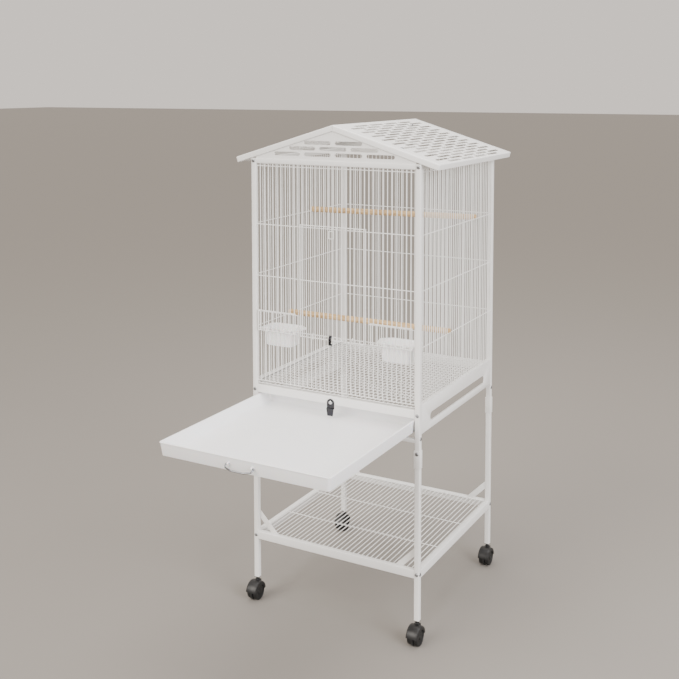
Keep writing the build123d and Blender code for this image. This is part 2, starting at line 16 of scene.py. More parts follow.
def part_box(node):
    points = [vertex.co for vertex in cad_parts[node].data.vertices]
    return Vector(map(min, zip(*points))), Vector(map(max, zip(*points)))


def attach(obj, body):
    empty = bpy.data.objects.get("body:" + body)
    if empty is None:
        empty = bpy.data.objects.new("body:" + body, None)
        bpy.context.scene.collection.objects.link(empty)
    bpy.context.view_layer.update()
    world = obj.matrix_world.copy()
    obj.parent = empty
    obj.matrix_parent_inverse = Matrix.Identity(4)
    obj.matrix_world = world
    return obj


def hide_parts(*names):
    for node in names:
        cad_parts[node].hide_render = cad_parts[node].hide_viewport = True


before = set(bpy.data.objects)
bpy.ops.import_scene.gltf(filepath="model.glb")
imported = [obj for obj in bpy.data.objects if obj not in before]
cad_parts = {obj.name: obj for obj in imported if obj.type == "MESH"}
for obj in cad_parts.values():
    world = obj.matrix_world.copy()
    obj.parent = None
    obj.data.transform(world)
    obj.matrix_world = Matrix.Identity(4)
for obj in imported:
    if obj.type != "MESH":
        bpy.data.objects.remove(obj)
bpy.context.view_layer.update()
MM = 0.001

# %% [markdown]
# ## Camera
#
# The camera comes first, because every later choice is judged through it. The lens axis passes
# above and to the left of the middle of the frame. A lens shift gives that framing without
# tilting the camera, so upright posts stay nearly upright.

# %% Camera
AZIMUTH = radians(29.806)
ELEVATION = radians(4.48)
ROLL = radians(-0.183)
CAMERA_PLACE = Vector((1.1738, -2.3777, 1.3123))
SENSOR_WIDTH = 36.0
LENS = 54.81
LENS_SHIFT = (0.0383, -0.2593)


def add_camera():
    data = bpy.data.cameras.new("camera")
    data.sensor_width = SENSOR_WIDTH
    data.lens = LENS
    data.shift_x, data.shift_y = LENS_SHIFT
    camera = bpy.data.objects.new("camera", data)
    back = Vector((sin(AZIMUTH) * cos(ELEVATION), -cos(AZIMUTH) * cos(ELEVATION), sin(ELEVATION)))
    right = Vector((cos(AZIMUTH), sin(AZIMUTH), 0.0))
    up = back.cross(right)
    turned_right = right * cos(ROLL) + up * sin(ROLL)
    turned_up = up * cos(ROLL) - right * sin(ROLL)
    axes = Matrix((turned_right, turned_up, back)).transposed()
    camera.matrix_world = Matrix.Translation(CAMERA_PLACE) @ axes.to_4x4()
    bpy.context.scene.collection.objects.link(camera)
    bpy.context.scene.camera = camera
    return camera


camera = add_camera()
print("camera at", tuple(round(v, 3) for v in camera.location))

# %% [markdown]
# ## One small node helper
#
# Materials and Geometry Nodes trees are both node trees. One function adds a node, sets its
# options and fills its inputs. An input may be a plain value, another node's output socket, or a
# node, which stands for its first output. A list links every item to the same input.

# %% Node helper and colours
def add_node(tree, kind, inputs=None, **settings):
    node = tree.nodes.new(kind)
    for key, value in settings.items():
        setattr(node, key, value)
    for key, value in (inputs or {}).items():
        for item in value if isinstance(value, list) else [value]:
            item = item.outputs[0] if isinstance(item, bpy.types.Node) else item
            if isinstance(item, bpy.types.NodeSocket):
                tree.links.new(item, node.inputs[key])
            else:
                node.inputs[key].default_value = item
    return node


def colour(hex_code):
    """An sRGB hex colour as linear RGBA."""
    channels = [int(hex_code[i:i + 2], 16) / 255 for i in (1, 3, 5)]
    linear = [c / 12.92 if c <= 0.04045 else ((c + 0.055) / 1.055) ** 2.4 for c in channels]
    return (*linear, 1.0)


def per_mm(size):
    """Noise scale whose features are about `size` millimetres across."""
    return 1.0 / (size * MM)


def new_material(name):
    material = bpy.data.materials.new(name)
    material.use_nodes = True
    tree = material.node_tree
    tree.nodes.clear()
    return material, tree


def finish_material(material, **inputs):
    """Principled shader and output; inputs are named by the shader's own sockets."""
    tree = material.node_tree
    sockets = {key.replace("_", " "): value for key, value in inputs.items()}
    shader = add_node(tree, "ShaderNodeBsdfPrincipled", sockets)
    add_node(tree, "ShaderNodeOutputMaterial", {"Surface": shader})
    return material


print("mid grey #808080 is", round(colour("#808080")[0], 3), "in linear light")

# %% [markdown]
# ## Powder coat
#
# The tubes, sheets and wires are mild steel, sprayed with white polyester powder and baked at
# about 200 C. The powder melts into a tough, slightly uneven skin: an "orange peel" of soft
# waves about 1.5 mm across. It gives broad, soft highlights. A very faint warm stain breaks
# up the white, as handling and dust do. A colour alone would look like paper, so noise drives a
# little of the gloss and a shallow bump.

# %% Powder coat material
STAIN_MM = 45
PEEL_MM = 1.5


def make_powder_coat(name, light, dull, roughness):
    material, tree = new_material(name)
    place = add_node(tree, "ShaderNodeTexCoord").outputs["Object"]
    stain = add_node(tree, "ShaderNodeTexNoise", {"Vector": place, "Scale": per_mm(STAIN_MM), "Detail": 4.0})
    tone = add_node(tree, "ShaderNodeMix", {"Factor": stain, 6: colour(light), 7: colour(dull)},
                    data_type="RGBA")
    peel = add_node(tree, "ShaderNodeTexNoise", {"Vector": place, "Scale": per_mm(PEEL_MM), "Detail": 2.0})
    gloss = add_node(tree, "ShaderNodeMapRange", {
        "Value": stain, "To Min": roughness - 0.05, "To Max": roughness + 0.07})
    bump = add_node(tree, "ShaderNodeBump", {"Height": peel, "Strength": 0.25, "Distance": 0.05 * MM})
    return finish_material(material, Base_Color=tone.outputs[2], Roughness=gloss, Normal=bump, IOR=1.5)


powder_coat = make_powder_coat("baked_polyester_powder_coat", "#EDECEA", "#E6E5E2", 0.34)
print("made", powder_coat.name)

# %% [markdown]
# ## Moulded plastics
#
# The tray and the bowls are injection-moulded polypropylene. The tool was spark-eroded, which
# leaves a fine matt grain, and light travels a little way into the plastic, so its shadows
# look softer than painted steel's. The casters are black nylon from a rougher tool. One recipe
# makes all four, because only the colour, the gloss, the grain and the depth of light differ.

# %% Moulded plastic materials
def make_moulded_plastic(name, base, shade, roughness, grain_mm, depth_mm, glow):
    material, tree = new_material(name)
    place = add_node(tree, "ShaderNodeTexCoord").outputs["Object"]
    cloud = add_node(tree, "ShaderNodeTexNoise", {"Vector": place, "Scale": per_mm(60), "Detail": 3.0})
    tone = add_node(tree, "ShaderNodeMix", {"Factor": cloud, 6: colour(base), 7: colour(shade)},
                    data_type="RGBA")
    grain = add_node(tree, "ShaderNodeTexNoise", {"Vector": place, "Scale": per_mm(grain_mm), "Detail": 3.0})
    gloss = add_node(tree, "ShaderNodeMapRange", {
        "Value": grain, "To Min": roughness - 0.06, "To Max": roughness + 0.08})
    bump = add_node(tree, "ShaderNodeBump", {"Height": grain, "Strength": 0.3, "Distance": depth_mm * MM})
    return finish_material(material, Base_Color=tone.outputs[2], Roughness=gloss, Normal=bump, IOR=1.49,
                           Subsurface_Weight=glow, Subsurface_Scale=2.0 * MM)


# base, shade, roughness, grain in mm, grain depth in mm, share of light that enters
tray_plastic = make_moulded_plastic(
    "moulded_white_polypropylene", "#FBFBFC", "#F5F5F7", 0.42, 0.8, 0.03, 0.08)
bowl_plastic = make_moulded_plastic(
    "moulded_gloss_polypropylene", "#FDFDFD", "#F8F8F8", 0.28, 1.2, 0.02, 0.12)
caster_plastic = make_moulded_plastic("moulded_black_nylon", "#151516", "#1C1C1D", 0.40, 0.6, 0.05, 0.0)
tyre_plastic = make_moulded_plastic("turned_black_wheel_nylon", "#101011", "#191919", 0.48, 0.9, 0.05, 0.0)
print("made four moulded plastics")

# %% [markdown]
# ## Wood perches
#
# Each perch is a pale hardwood dowel, turned and sanded and left bare. The grain runs along the
# dowel, so the noise is stretched along X, and thin darker pores lie in the same direction. A
# flat texture would have to be wrapped round the rod, and noise in space needs no wrapping.

# %% Dowel wood material
GRAIN_STRETCH = (0.06, 1.0, 1.0)


def make_dowel_wood():
    material, tree = new_material("sanded_ramin_dowel")
    place = add_node(tree, "ShaderNodeTexCoord").outputs["Object"]
    along = add_node(tree, "ShaderNodeMapping", {"Vector": place, "Scale": GRAIN_STRETCH})
    grain = add_node(tree, "ShaderNodeTexNoise", {
        "Vector": along, "Scale": per_mm(3.0), "Detail": 6.0, "Roughness": 0.62})
    pores = add_node(tree, "ShaderNodeTexNoise", {"Vector": along, "Scale": per_mm(0.9), "Detail": 2.0})
    ramp = add_node(tree, "ShaderNodeValToRGB", {"Fac": grain})
    for stop, position, tone_hex in zip(ramp.color_ramp.elements, (0.32, 0.68), ("#B5905F", "#D9BC90")):
        stop.position = position
        stop.color = colour(tone_hex)
    dots = add_node(tree, "ShaderNodeMapRange", {
        "Value": pores, "From Min": 0.60, "From Max": 0.75, "To Min": 0.0, "To Max": 0.35})
    tone = add_node(tree, "ShaderNodeMix", {"Factor": dots, 6: ramp, 7: colour("#84623C")}, data_type="RGBA")
    bump = add_node(tree, "ShaderNodeBump", {"Height": grain, "Strength": 0.35, "Distance": 0.08 * MM})
    return finish_material(material, Base_Color=tone.outputs[2], Roughness=0.58, Normal=bump)


dowel_wood = make_dowel_wood()
print("made", dowel_wood.name)

# %% [markdown]
# ## Plated metal
#
# Three platings show: chrome on the handle, a dark plate on the latch and the clip, and plain zinc
# on the rivet and the screws. Plating is smooth, but handling leaves fine marks that make the gloss
# uneven. The colour of a bare metal is the colour of its reflection, so one recipe with four tones
# is enough. Three tones hold painted light: the chrome is darkened to paint dark reflections of the
# room, the latch and clip are near black to paint shade and dark reflection, and the rivet's zinc
# is lighter than the screws' to paint a highlight.

# %% Metal materials
def make_plated_metal(name, tone_hex, roughness, mark_mm):
    material, tree = new_material(name)
    place = add_node(tree, "ShaderNodeTexCoord").outputs["Object"]
    marks = add_node(tree, "ShaderNodeTexNoise", {"Vector": place, "Scale": per_mm(mark_mm), "Detail": 5.0})
    gloss = add_node(tree, "ShaderNodeMapRange", {
        "Value": marks, "To Min": roughness * 0.7, "To Max": roughness * 1.5})
    bump = add_node(tree, "ShaderNodeBump", {"Height": marks, "Strength": 0.15, "Distance": 0.02 * MM})
    return finish_material(material, Base_Color=colour(tone_hex), Metallic=1.0, Roughness=gloss, Normal=bump)


# the chrome's tone is darkened below real chrome to paint dark reflections of the room
handle_chrome_painted_dark_reflection = make_plated_metal("bright_chrome_plate", "#8C8E92", 0.10, 4.0)
# a near-black tone that paints shade and dark reflection on the latch and the clip
latch_and_clip_painted_dark = make_plated_metal("plate_painted_shade_and_dark_reflection", "#3E3E41", 0.20, 2.5)
# the rivet's zinc is lighter than the screws' zinc to paint a highlight
rivet_zinc_painted_highlight = make_plated_metal("bright_zinc_rivet", "#D9DADC", 0.25, 1.5)
screw_zinc = make_plated_metal("bright_zinc_screw", "#9A9B9D", 0.30, 1.5)
print("made four plated finishes")

# %% [markdown]
# ## Turning shapes into pieces
#
# Every finished piece ends in the same way: a mesh with its place in its vertices, a material,
# the body it moves with, and the design parts it stands for.
# Shading is smooth except at sharp edges, which is how bent and moulded parts catch light.


def link_mesh(name, mesh):
    obj = bpy.data.objects.new(name, mesh)
    bpy.context.scene.collection.objects.link(obj)
    return obj


def smooth_by_angle(mesh, angle=35):
    """Smooth shading, with every edge sharper than the angle left crisp."""
    bm = bmesh.new()
    bm.from_mesh(mesh)
    limit = radians(angle)
    for face in bm.faces:
        face.smooth = True
    for edge in bm.edges:
        edge.smooth = len(edge.link_faces) == 2 and edge.calc_face_angle(0.0) < limit
    bm.to_mesh(mesh)
    bm.free()


def piece(name, mesh, material, body, nodes):
    """Make the object. A mesh from a Geometry Nodes tree has its material already."""
    obj = link_mesh(name, mesh)
    if material:
        mesh.materials.clear()
        mesh.materials.append(material)
    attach(obj, body)
    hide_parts(*nodes)
    return obj


def plain_mesh(bm, name):
    mesh = bpy.data.meshes.new(name)
    bm.to_mesh(mesh)
    bm.free()
    return mesh


def smooth_mesh(bm, name, angle=35):
    """Point every face outwards, then shade."""
    bmesh.ops.recalc_face_normals(bm, faces=bm.faces)
    mesh = plain_mesh(bm, name)
    smooth_by_angle(mesh, angle)
    return mesh


print("the design has", len(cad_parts), "parts to dress")

# %% [markdown]
# ## Welded wire, grown by Geometry Nodes
#
# A cage wall is the same wire repeated at one spacing. Copying objects by hand would give
# hundreds of them. A Geometry Nodes tree needs only a count, a first wire, a step and a run, and
# it grows a whole row. Rows are stacked as modifiers on one empty mesh: the uprights, then the
# cross wires that are welded over them. The result is realised into a plain mesh.

# %% Wire row tree
WIRE = 2.2
WIRE_SIDES = 10
WELD_SET = 0.8       # how far the cross wires stand off the uprights' centre line


def new_tree(name, sockets):
    """An empty tree with named inputs, and those inputs. Every tree takes a mesh and a finish."""
    tree = bpy.data.node_groups.new(name, "GeometryNodeTree")
    tree.interface.new_socket("Geometry", in_out="OUTPUT", socket_type="NodeSocketGeometry")
    for label, kind in {"Geometry": "Geometry", **sockets, "Finish": "Material"}.items():
        tree.interface.new_socket(label, in_out="INPUT", socket_type="NodeSocket" + kind)
    return tree, add_node(tree, "NodeGroupInput").outputs


def end_tree(tree, geometry, finish):
    """Every tree ends with real geometry, its material and the group's output."""
    solid = add_node(tree, "GeometryNodeRealizeInstances", {"Geometry": geometry})
    coated = add_node(tree, "GeometryNodeSetMaterial", {"Geometry": solid, "Material": finish})
    add_node(tree, "NodeGroupOutput", {"Geometry": coated})
    print("tree", tree.name, "with", len(tree.nodes), "nodes")
    return tree


def build_wire_row_tree():
    tree, given = new_tree("wire_row", {"Count": "Int", "First wire": "Vector", "Step": "Vector",
                                        "Run": "Vector", "Diameter": "Float"})
    radius = add_node(tree, "ShaderNodeMath", {0: given["Diameter"], 1: 0.5}, operation="MULTIPLY")
    places = add_node(tree, "GeometryNodeMeshLine", {
        "Count": given["Count"], "Start Location": given["First wire"],
        "Offset": given["Step"]}, mode="OFFSET")
    spine = add_node(tree, "GeometryNodeCurvePrimitiveLine", {"End": given["Run"]})
    section = add_node(tree, "GeometryNodeCurvePrimitiveCircle", {"Resolution": WIRE_SIDES, "Radius": radius})
    wire = add_node(tree, "GeometryNodeCurveToMesh", {
        "Curve": spine, "Profile Curve": section, "Fill Caps": True})
    rows = add_node(tree, "GeometryNodeInstanceOnPoints", {"Points": places, "Instance": wire})
    both = add_node(tree, "GeometryNodeJoinGeometry", {"Geometry": [rows, given["Geometry"]]})
    return end_tree(tree, both, given["Finish"])


wire_row_tree = build_wire_row_tree()

# %% From a tree to a plain mesh
def fill_inputs(modifier, values):
    """Set a Geometry Nodes modifier's named inputs by their identifiers."""
    for item in modifier.node_group.interface.items_tree:
        if item.item_type == "SOCKET" and item.in_out == "INPUT" and item.name in values:
            modifier[item.identifier] = values[item.name]


def realise(name, start_mesh, tree, settings):
    """Stack one modifier of the tree for each set of values, and return the plain mesh."""
    source = link_mesh(name + "_source", start_mesh)
    for number, values in enumerate(settings):
        modifier = source.modifiers.new(f"{tree.name}_{number}", "NODES")
        modifier.node_group = tree
        fill_inputs(modifier, values)
    graph = bpy.context.evaluated_depsgraph_get()
    mesh = bpy.data.meshes.new_from_object(source.evaluated_get(graph))
    mesh.name = name
    bpy.data.objects.remove(source)
    return mesh


def wire_row(first, step, run, count, diameter=WIRE):
    """One row of wires; every length is in millimetres."""
    return {"Count": count, "First wire": Vector(first) * MM, "Step": Vector(step) * MM,
            "Run": Vector(run) * MM, "Diameter": diameter * MM, "Finish": powder_coat}


def grown_piece(name, start_mesh, tree, settings, body, nodes, angle=30):
    """A finished piece grown by a tree."""
    mesh = realise(name, start_mesh, tree, settings)
    smooth_by_angle(mesh, angle)
    print(name, len(mesh.polygons), "faces")
    return piece(name, mesh, None, body, nodes)


def wire_piece(name, rows, body, node):
    return grown_piece(name, bpy.data.meshes.new(name), wire_row_tree, rows, body, [node], angle=50)


print("one wire is", WIRE, "mm thick, with", WIRE_SIDES, "sides")

# %% [markdown]
# ## The four walls
#
# The uprights stand 12 mm apart. Four cross wires run round the whole cage at the same heights,
# and they carry the perches. The front wall leaves out the uprights behind the door and the two
# feeder openings, so its uprights come in separate rows above and below each opening.

# %% Wall sizes
PITCH = 12.0
PERCH_WIRE_HIGH = 963.0
MIDDLE_WIRE = 834.0
PERCH_WIRE_LOW = 702.0
FEEDER_WIRE = 744.0
TOP_WIRE = 1108.0
LEVELS = (PERCH_WIRE_LOW, MIDDLE_WIRE, PERCH_WIRE_HIGH, TOP_WIRE)
DOOR_OPENING_HALF = 84.0
FEEDER_X = (108.0, 204.0)
half_wire = WIRE / 2


def box_mm(node):
    low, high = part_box(node)
    return low / MM, high / MM


print("uprights every", PITCH, "mm, cross wires at", LEVELS)

# %% Front wall
CAGE = "cage_and_stand"


def upright_rows(x_first, x_last, low, high, y):
    count = int(round((x_last - x_first) / PITCH)) + 1
    return wire_row((x_first, y, low), (PITCH, 0, 0), (0, 0, high - low), count)


def make_front_wall():
    low, high = box_mm("front_panel")
    y = (low.y + high.y) / 2
    bottom, top = low.z, high.z
    inner = FEEDER_X[0] - PITCH
    edge = high.x - half_wire
    rows = [wire_row((-edge, y, bottom), (2 * edge, 0, 0), (0, 0, top - bottom), 2)]
    for s in (-1, 1):
        near, far = sorted((s * FEEDER_X[0], s * FEEDER_X[1]))
        rows.append(upright_rows(near, far, bottom, PERCH_WIRE_LOW, y))
        rows.append(upright_rows(near, far, FEEDER_WIRE, top, y))
        rows.append(upright_rows(s * inner, s * inner, bottom, top, y))
    rows.append(upright_rows(-DOOR_OPENING_HALF, DOOR_OPENING_HALF, bottom, PERCH_WIRE_LOW, y))
    rows.append(upright_rows(-DOOR_OPENING_HALF, DOOR_OPENING_HALF, PERCH_WIRE_HIGH, top, y))
    opening_height = PERCH_WIRE_HIGH - PERCH_WIRE_LOW
    rows.append(wire_row((-DOOR_OPENING_HALF, y, PERCH_WIRE_LOW), (2 * DOOR_OPENING_HALF, 0, 0),
                         (0, 0, opening_height), 2))
    cross = y + WELD_SET
    for z in (bottom + half_wire, PERCH_WIRE_LOW, PERCH_WIRE_HIGH, TOP_WIRE):
        rows.append(wire_row((low.x, cross, z), (1, 0, 0), (high.x - low.x, 0, 0), 1))
    side_run = -DOOR_OPENING_HALF - low.x
    rows.append(wire_row((low.x, cross, MIDDLE_WIRE), (high.x + DOOR_OPENING_HALF, 0, 0),
                         (side_run, 0, 0), 2))
    feeder_run = high.x - inner
    rows.append(wire_row((low.x, cross, FEEDER_WIRE), (high.x + inner, 0, 0), (feeder_run, 0, 0), 2))
    return wire_piece("front_wall_wires", rows, CAGE, "front_panel")


make_front_wall()

# %% [markdown]
# ## Rear and side walls
#
# These three walls have no openings, so one row of uprights fills each. The rows are laid out
# from the middle, as on a welding jig, and one wire closes each edge. One function makes all
# three, given the axis that the wall runs along and the way it faces.

# %% Rear and side walls
def make_plain_wall(node, along, outward):
    """A wall without openings. `along` is the axis of its width, 0 for X or 1 for Y."""
    low, high = box_mm(node)
    across = 1 - along
    plane = (low[across] + high[across]) / 2
    widest = high[along]

    def spot(u, z, offset=0.0):
        point = [0.0, 0.0, z]
        point[along] = u
        point[across] = plane + outward * offset
        return point

    def move(distance):
        step = [0.0, 0.0, 0.0]
        step[along] = distance
        return step

    count = int((widest - PITCH / 2) // PITCH)
    rise = (0, 0, high.z - low.z)
    rows = [wire_row(spot(-count * PITCH, low.z), move(PITCH), rise, 2 * count + 1)]
    edge = widest - half_wire
    rows.append(wire_row(spot(-edge, low.z), move(2 * edge), rise, 2))
    for z in (low.z + half_wire,) + LEVELS:
        rows.append(wire_row(spot(-widest, z, WELD_SET), move(1), move(2 * widest), 1))
    return wire_piece(node.replace("panel", "wall_wires"), rows, CAGE, node)


for node, along, outward in (("rear_panel", 0, 1), ("left_panel", 1, -1), ("right_panel", 1, 1)):
    make_plain_wall(node, along, outward)

# %% [markdown]
# ## Doors
#
# The drop-down door and the two feeder shutters are small panels of the same wire, bent into a
# closed rim. They could be cut out of the front wall, but they move, so each is a piece of its
# own on its own body, grown by the same tree.

# %% Door and shutters
def rim_rows(low, high, y):
    """The four wires round the edge of an upright panel."""
    x0, x1 = low.x + half_wire, high.x - half_wire
    z0, z1 = low.z + half_wire, high.z - half_wire
    upright = wire_row((x0, y, z0 - half_wire), (x1 - x0, 0, 0), (0, 0, z1 - z0 + WIRE), 2)
    level = wire_row((x0 - half_wire, y, z0), (0, 0, z1 - z0), (x1 - x0 + WIRE, 0, 0), 2)
    return [upright, level]


def make_upright_panel(node, name, first_x, last_x, levels):
    low, high = box_mm(node)
    y = (low.y + high.y) / 2
    rows = rim_rows(low, high, y)
    rows.append(upright_rows(first_x, last_x, low.z + half_wire, high.z - half_wire, y))
    for z in levels:
        rows.append(wire_row((low.x, y, z), (1, 0, 0), (high.x - low.x, 0, 0), 1))
    return wire_piece(name, rows, node, node)


make_upright_panel("front_door", "front_door_wires", -DOOR_OPENING_HALF, DOOR_OPENING_HALF, (MIDDLE_WIRE,))
make_upright_panel("feeder_door_left", "feeder_shutter_left", -FEEDER_X[1], -FEEDER_X[0], ())
make_upright_panel("feeder_door_right", "feeder_shutter_right", FEEDER_X[0], FEEDER_X[1], ())

# %% [markdown]
# ## Floor grate and shelf
#
# The floor grate has finer cross wires, 20 mm apart, so that a bird can walk on it. The shelf
# has bars from front to back, welded on a few cross wires. Both are level, so their bars run
# along Y, and one function lays the bars of both.

# %% Floor grate and shelf bars
GRATE_CROSS_PITCH = 20.0
GRATE_WIRE = 2.0
SHELF_CROSS_WIRES = (-93.0, 60.0)


def level_bars(low, high, z, diameter):
    """Bars from front to back at one pitch, and one along each side."""
    count = int((high.x - PITCH / 2) // PITCH)
    length = (0, high.y - low.y, 0)
    edge = high.x - half_wire
    return [wire_row((-count * PITCH, low.y, z), (PITCH, 0, 0), length, 2 * count + 1, diameter),
            wire_row((-edge, low.y, z), (2 * edge, 0, 0), length, 2)]


def make_grate():
    low, high = box_mm("floor_grate")
    z = (low.z + high.z) / 2
    crossings = int((high.y - low.y) // GRATE_CROSS_PITCH)
    step = (high.y - low.y - WIRE) / crossings
    across = wire_row((low.x, low.y + half_wire, z - WELD_SET), (0, step, 0),
                      (high.x - low.x, 0, 0), crossings + 1, GRATE_WIRE)
    rows = level_bars(low, high, z, GRATE_WIRE) + [across]
    return wire_piece("floor_grate_wires", rows, "floor_grate", "floor_grate")


def make_shelf():
    low, high = box_mm("shelf_wires")
    z = (low.z + high.z) / 2
    rows = level_bars(low, high, z, WIRE)
    for y in (low.y + half_wire, *SHELF_CROSS_WIRES, high.y - half_wire):
        rows.append(wire_row((low.x, y, z - WELD_SET), (1, 0, 0), (high.x - low.x, 0, 0), 1))
    return wire_piece("shelf_bars", rows, CAGE, "shelf_wires")


make_grate()
make_shelf()

# %% [markdown]
# ## Square tube
#
# Posts, legs and rails are cold-formed square tube. Its corners are never sharp: the strip is
# bent round a radius of about 1.5 mm. The section is one closed loop of points with rounded
# corners, an outer and an inner one, stretched along the tube.

# %% Square tube
TUBE_CORNER = 1.5
TUBE_WALL = 1.2
INNER_CORNER = 0.3


def rounded_loop(half_u, half_v, radius, steps=4):
    """Points round a rectangle with rounded corners, anticlockwise."""
    points = []
    corners = ((1, 1, 0), (-1, 1, 90), (-1, -1, 180), (1, -1, 270))
    for su, sv, start in corners:
        centre = (su * (half_u - radius), sv * (half_v - radius))
        for i in range(steps + 1):
            angle = radians(start + 90 * i / steps)
            points.append((centre[0] + radius * cos(angle), centre[1] + radius * sin(angle)))
    return points


def bridge(bm, ring_a, ring_b):
    for i in range(len(ring_a)):
        j = (i + 1) % len(ring_a)
        bm.faces.new((ring_a[i], ring_a[j], ring_b[j], ring_b[i]))


def make_tube(node, axis, wall=TUBE_WALL):
    low, high = box_mm(node)
    u, v = [i for i in range(3) if i != axis]
    centre = (low + high) / 2
    halves = ((high[u] - low[u]) / 2, (high[v] - low[v]) / 2)
    bm = bmesh.new()

    def ring(inset, end):
        radius = max(TUBE_CORNER - inset, INNER_CORNER)
        verts = []
        for a, b in rounded_loop(halves[0] - inset, halves[1] - inset, radius):
            point = [0.0, 0.0, 0.0]
            point[u], point[v], point[axis] = centre[u] + a, centre[v] + b, end
            verts.append(bm.verts.new(Vector(point) * MM))
        return verts

    loops = [ring(0, low[axis]), ring(0, high[axis]), ring(wall, high[axis]), ring(wall, low[axis])]
    for a, b in zip(loops, loops[1:] + loops[:1]):
        bridge(bm, a, b)
    return piece(f"{node}_tube", smooth_mesh(bm, node), powder_coat, CAGE, [node])


CORNERS = ("front_left", "front_right", "rear_left", "rear_right")
SIDES = ("left", "right")
for corner in CORNERS:
    make_tube(f"post_{corner}", 2)
    make_tube(f"leg_{corner}", 2)
for end in ("front", "rear"):
    for rail in ("top_rail", "bottom_rail", "shelf_rail"):
        make_tube(f"{rail}_{end}", 0)
for side in SIDES:
    make_tube(f"top_rail_{side}", 1)
    make_tube(f"shelf_rail_{side}", 1)
make_tube("tray_cross_bar", 0, wall=1.0)
print("made", 2 * len(CORNERS), "uprights and 11 rails")

# %% [markdown]
# ## Parts whose design shape is already right
#
# Pressed plates, brackets and clips only need their sharp design edges broken. A copy of the
# design mesh is merged, given a small bevel where faces meet at an angle, and shaded smooth.
# Modelling them again would only repeat the design.

# %% Finished copies
MERGE_MM = 0.002
FLAT_ANGLE = radians(1.0)
BEVEL_ANGLE = radians(30)


def finished_copy(node, name, material, body=CAGE, bevel=0.25, segments=2):
    bm = bmesh.new()
    bm.from_mesh(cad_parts[node].data)
    bmesh.ops.remove_doubles(bm, verts=bm.verts, dist=MERGE_MM * MM)
    bmesh.ops.dissolve_limit(bm, angle_limit=FLAT_ANGLE, verts=bm.verts, edges=bm.edges)
    mesh = plain_mesh(bm, name)
    if bevel:
        holder = link_mesh(name + "_source", mesh)
        modifier = holder.modifiers.new("edge", "BEVEL")
        modifier.width = bevel * MM
        modifier.segments = segments
        modifier.limit_method = "ANGLE"
        modifier.angle_limit = BEVEL_ANGLE
        graph = bpy.context.evaluated_depsgraph_get()
        mesh = bpy.data.meshes.new_from_object(holder.evaluated_get(graph))
        bpy.data.objects.remove(holder)
    smooth_by_angle(mesh, 40)
    return piece(name, mesh, material, body, [node])


for side in SIDES:
    finished_copy(f"side_skirt_{side}", f"side_skirt_{side}_sheet", powder_coat)
finished_copy("grate_runners", "grate_runner_angles", powder_coat)
finished_copy("shelf_braces", "shelf_brace_strips", powder_coat)
finished_copy("joint_sleeves", "joint_sleeve_tubes", powder_coat, bevel=0.8)
finished_copy("caster_sockets", "caster_socket_plugs", caster_plastic)
finished_copy("door_hinge_links", "door_hinge_wire_links", powder_coat, bevel=0)
finished_copy("door_latch", "door_latch_loop", powder_coat, "door_latch",
              bevel=0.7, segments=3)
# the clip and the latch plate take the near-black tone that paints shade and dark reflection
finished_copy("door_clip", "door_clip_strip", latch_and_clip_painted_dark, "door_clip")
finished_copy("tray_latch", "tray_latch_plate", latch_and_clip_painted_dark, "tray_latch")
finished_copy("handle_eyes", "handle_eye_mouldings", tray_plastic, "tray", bevel=0.4)
# the handle's chrome tone is darkened to paint dark reflections
finished_copy("tray_handle", "tray_handle_wire", handle_chrome_painted_dark_reflection, "tray_handle", bevel=0)
for level in ("upper", "lower"):
    finished_copy(f"perch_{level}", f"perch_{level}_dowel", dowel_wood,
                  f"perch_{level}", bevel=0)
print("dressed the pressed parts")

# %% [markdown]
# ## Slotted sheet: roof and gables
#
# The roof slopes and gables are thin steel sheet. Each was punched with rows of long round-ended
# slots for air, like bricks, and the roof sheets were then folded down along the eave and rakes.
# The folded sheet is built ring by ring, because its edge turns round corners. A Geometry Nodes
# tree lays out the slot cutters, shifts every second row by half a pitch, drops those that would
# break the edge, and cuts the rest out.

# %% Ring building
def in_mm(u, v, w):
    return Vector((u, v, w)) * MM


def ring_shell(bm, rings, place=in_mm):
    """Bridge rings of equal length into a closed shell. `place` turns (u, v, w) to a vector."""
    loops = [[bm.verts.new(place(u, v, w)) for u, v in loop] for loop, w in rings]
    for a, b in zip(loops, loops[1:]):
        bridge(bm, a, b)
    bm.faces.new(list(reversed(loops[0])))
    bm.faces.new(loops[-1])
    bmesh.ops.recalc_face_normals(bm, faces=bm.faces)


def shifted_loop(half_u, half_v, radius, centre, steps=5):
    return [(centre[0] + u, centre[1] + v) for u, v in rounded_loop(half_u, half_v, radius, steps)]


print("a rounded ring has", len(shifted_loop(10, 10, 2, (0, 0))), "points")

# %% Slot cutting tree
SLOT = (73.0, 9.5)
SLOT_PITCH = (84.0, 14.2)
SHEET = 1.0
SLOT_END_STEPS = 6


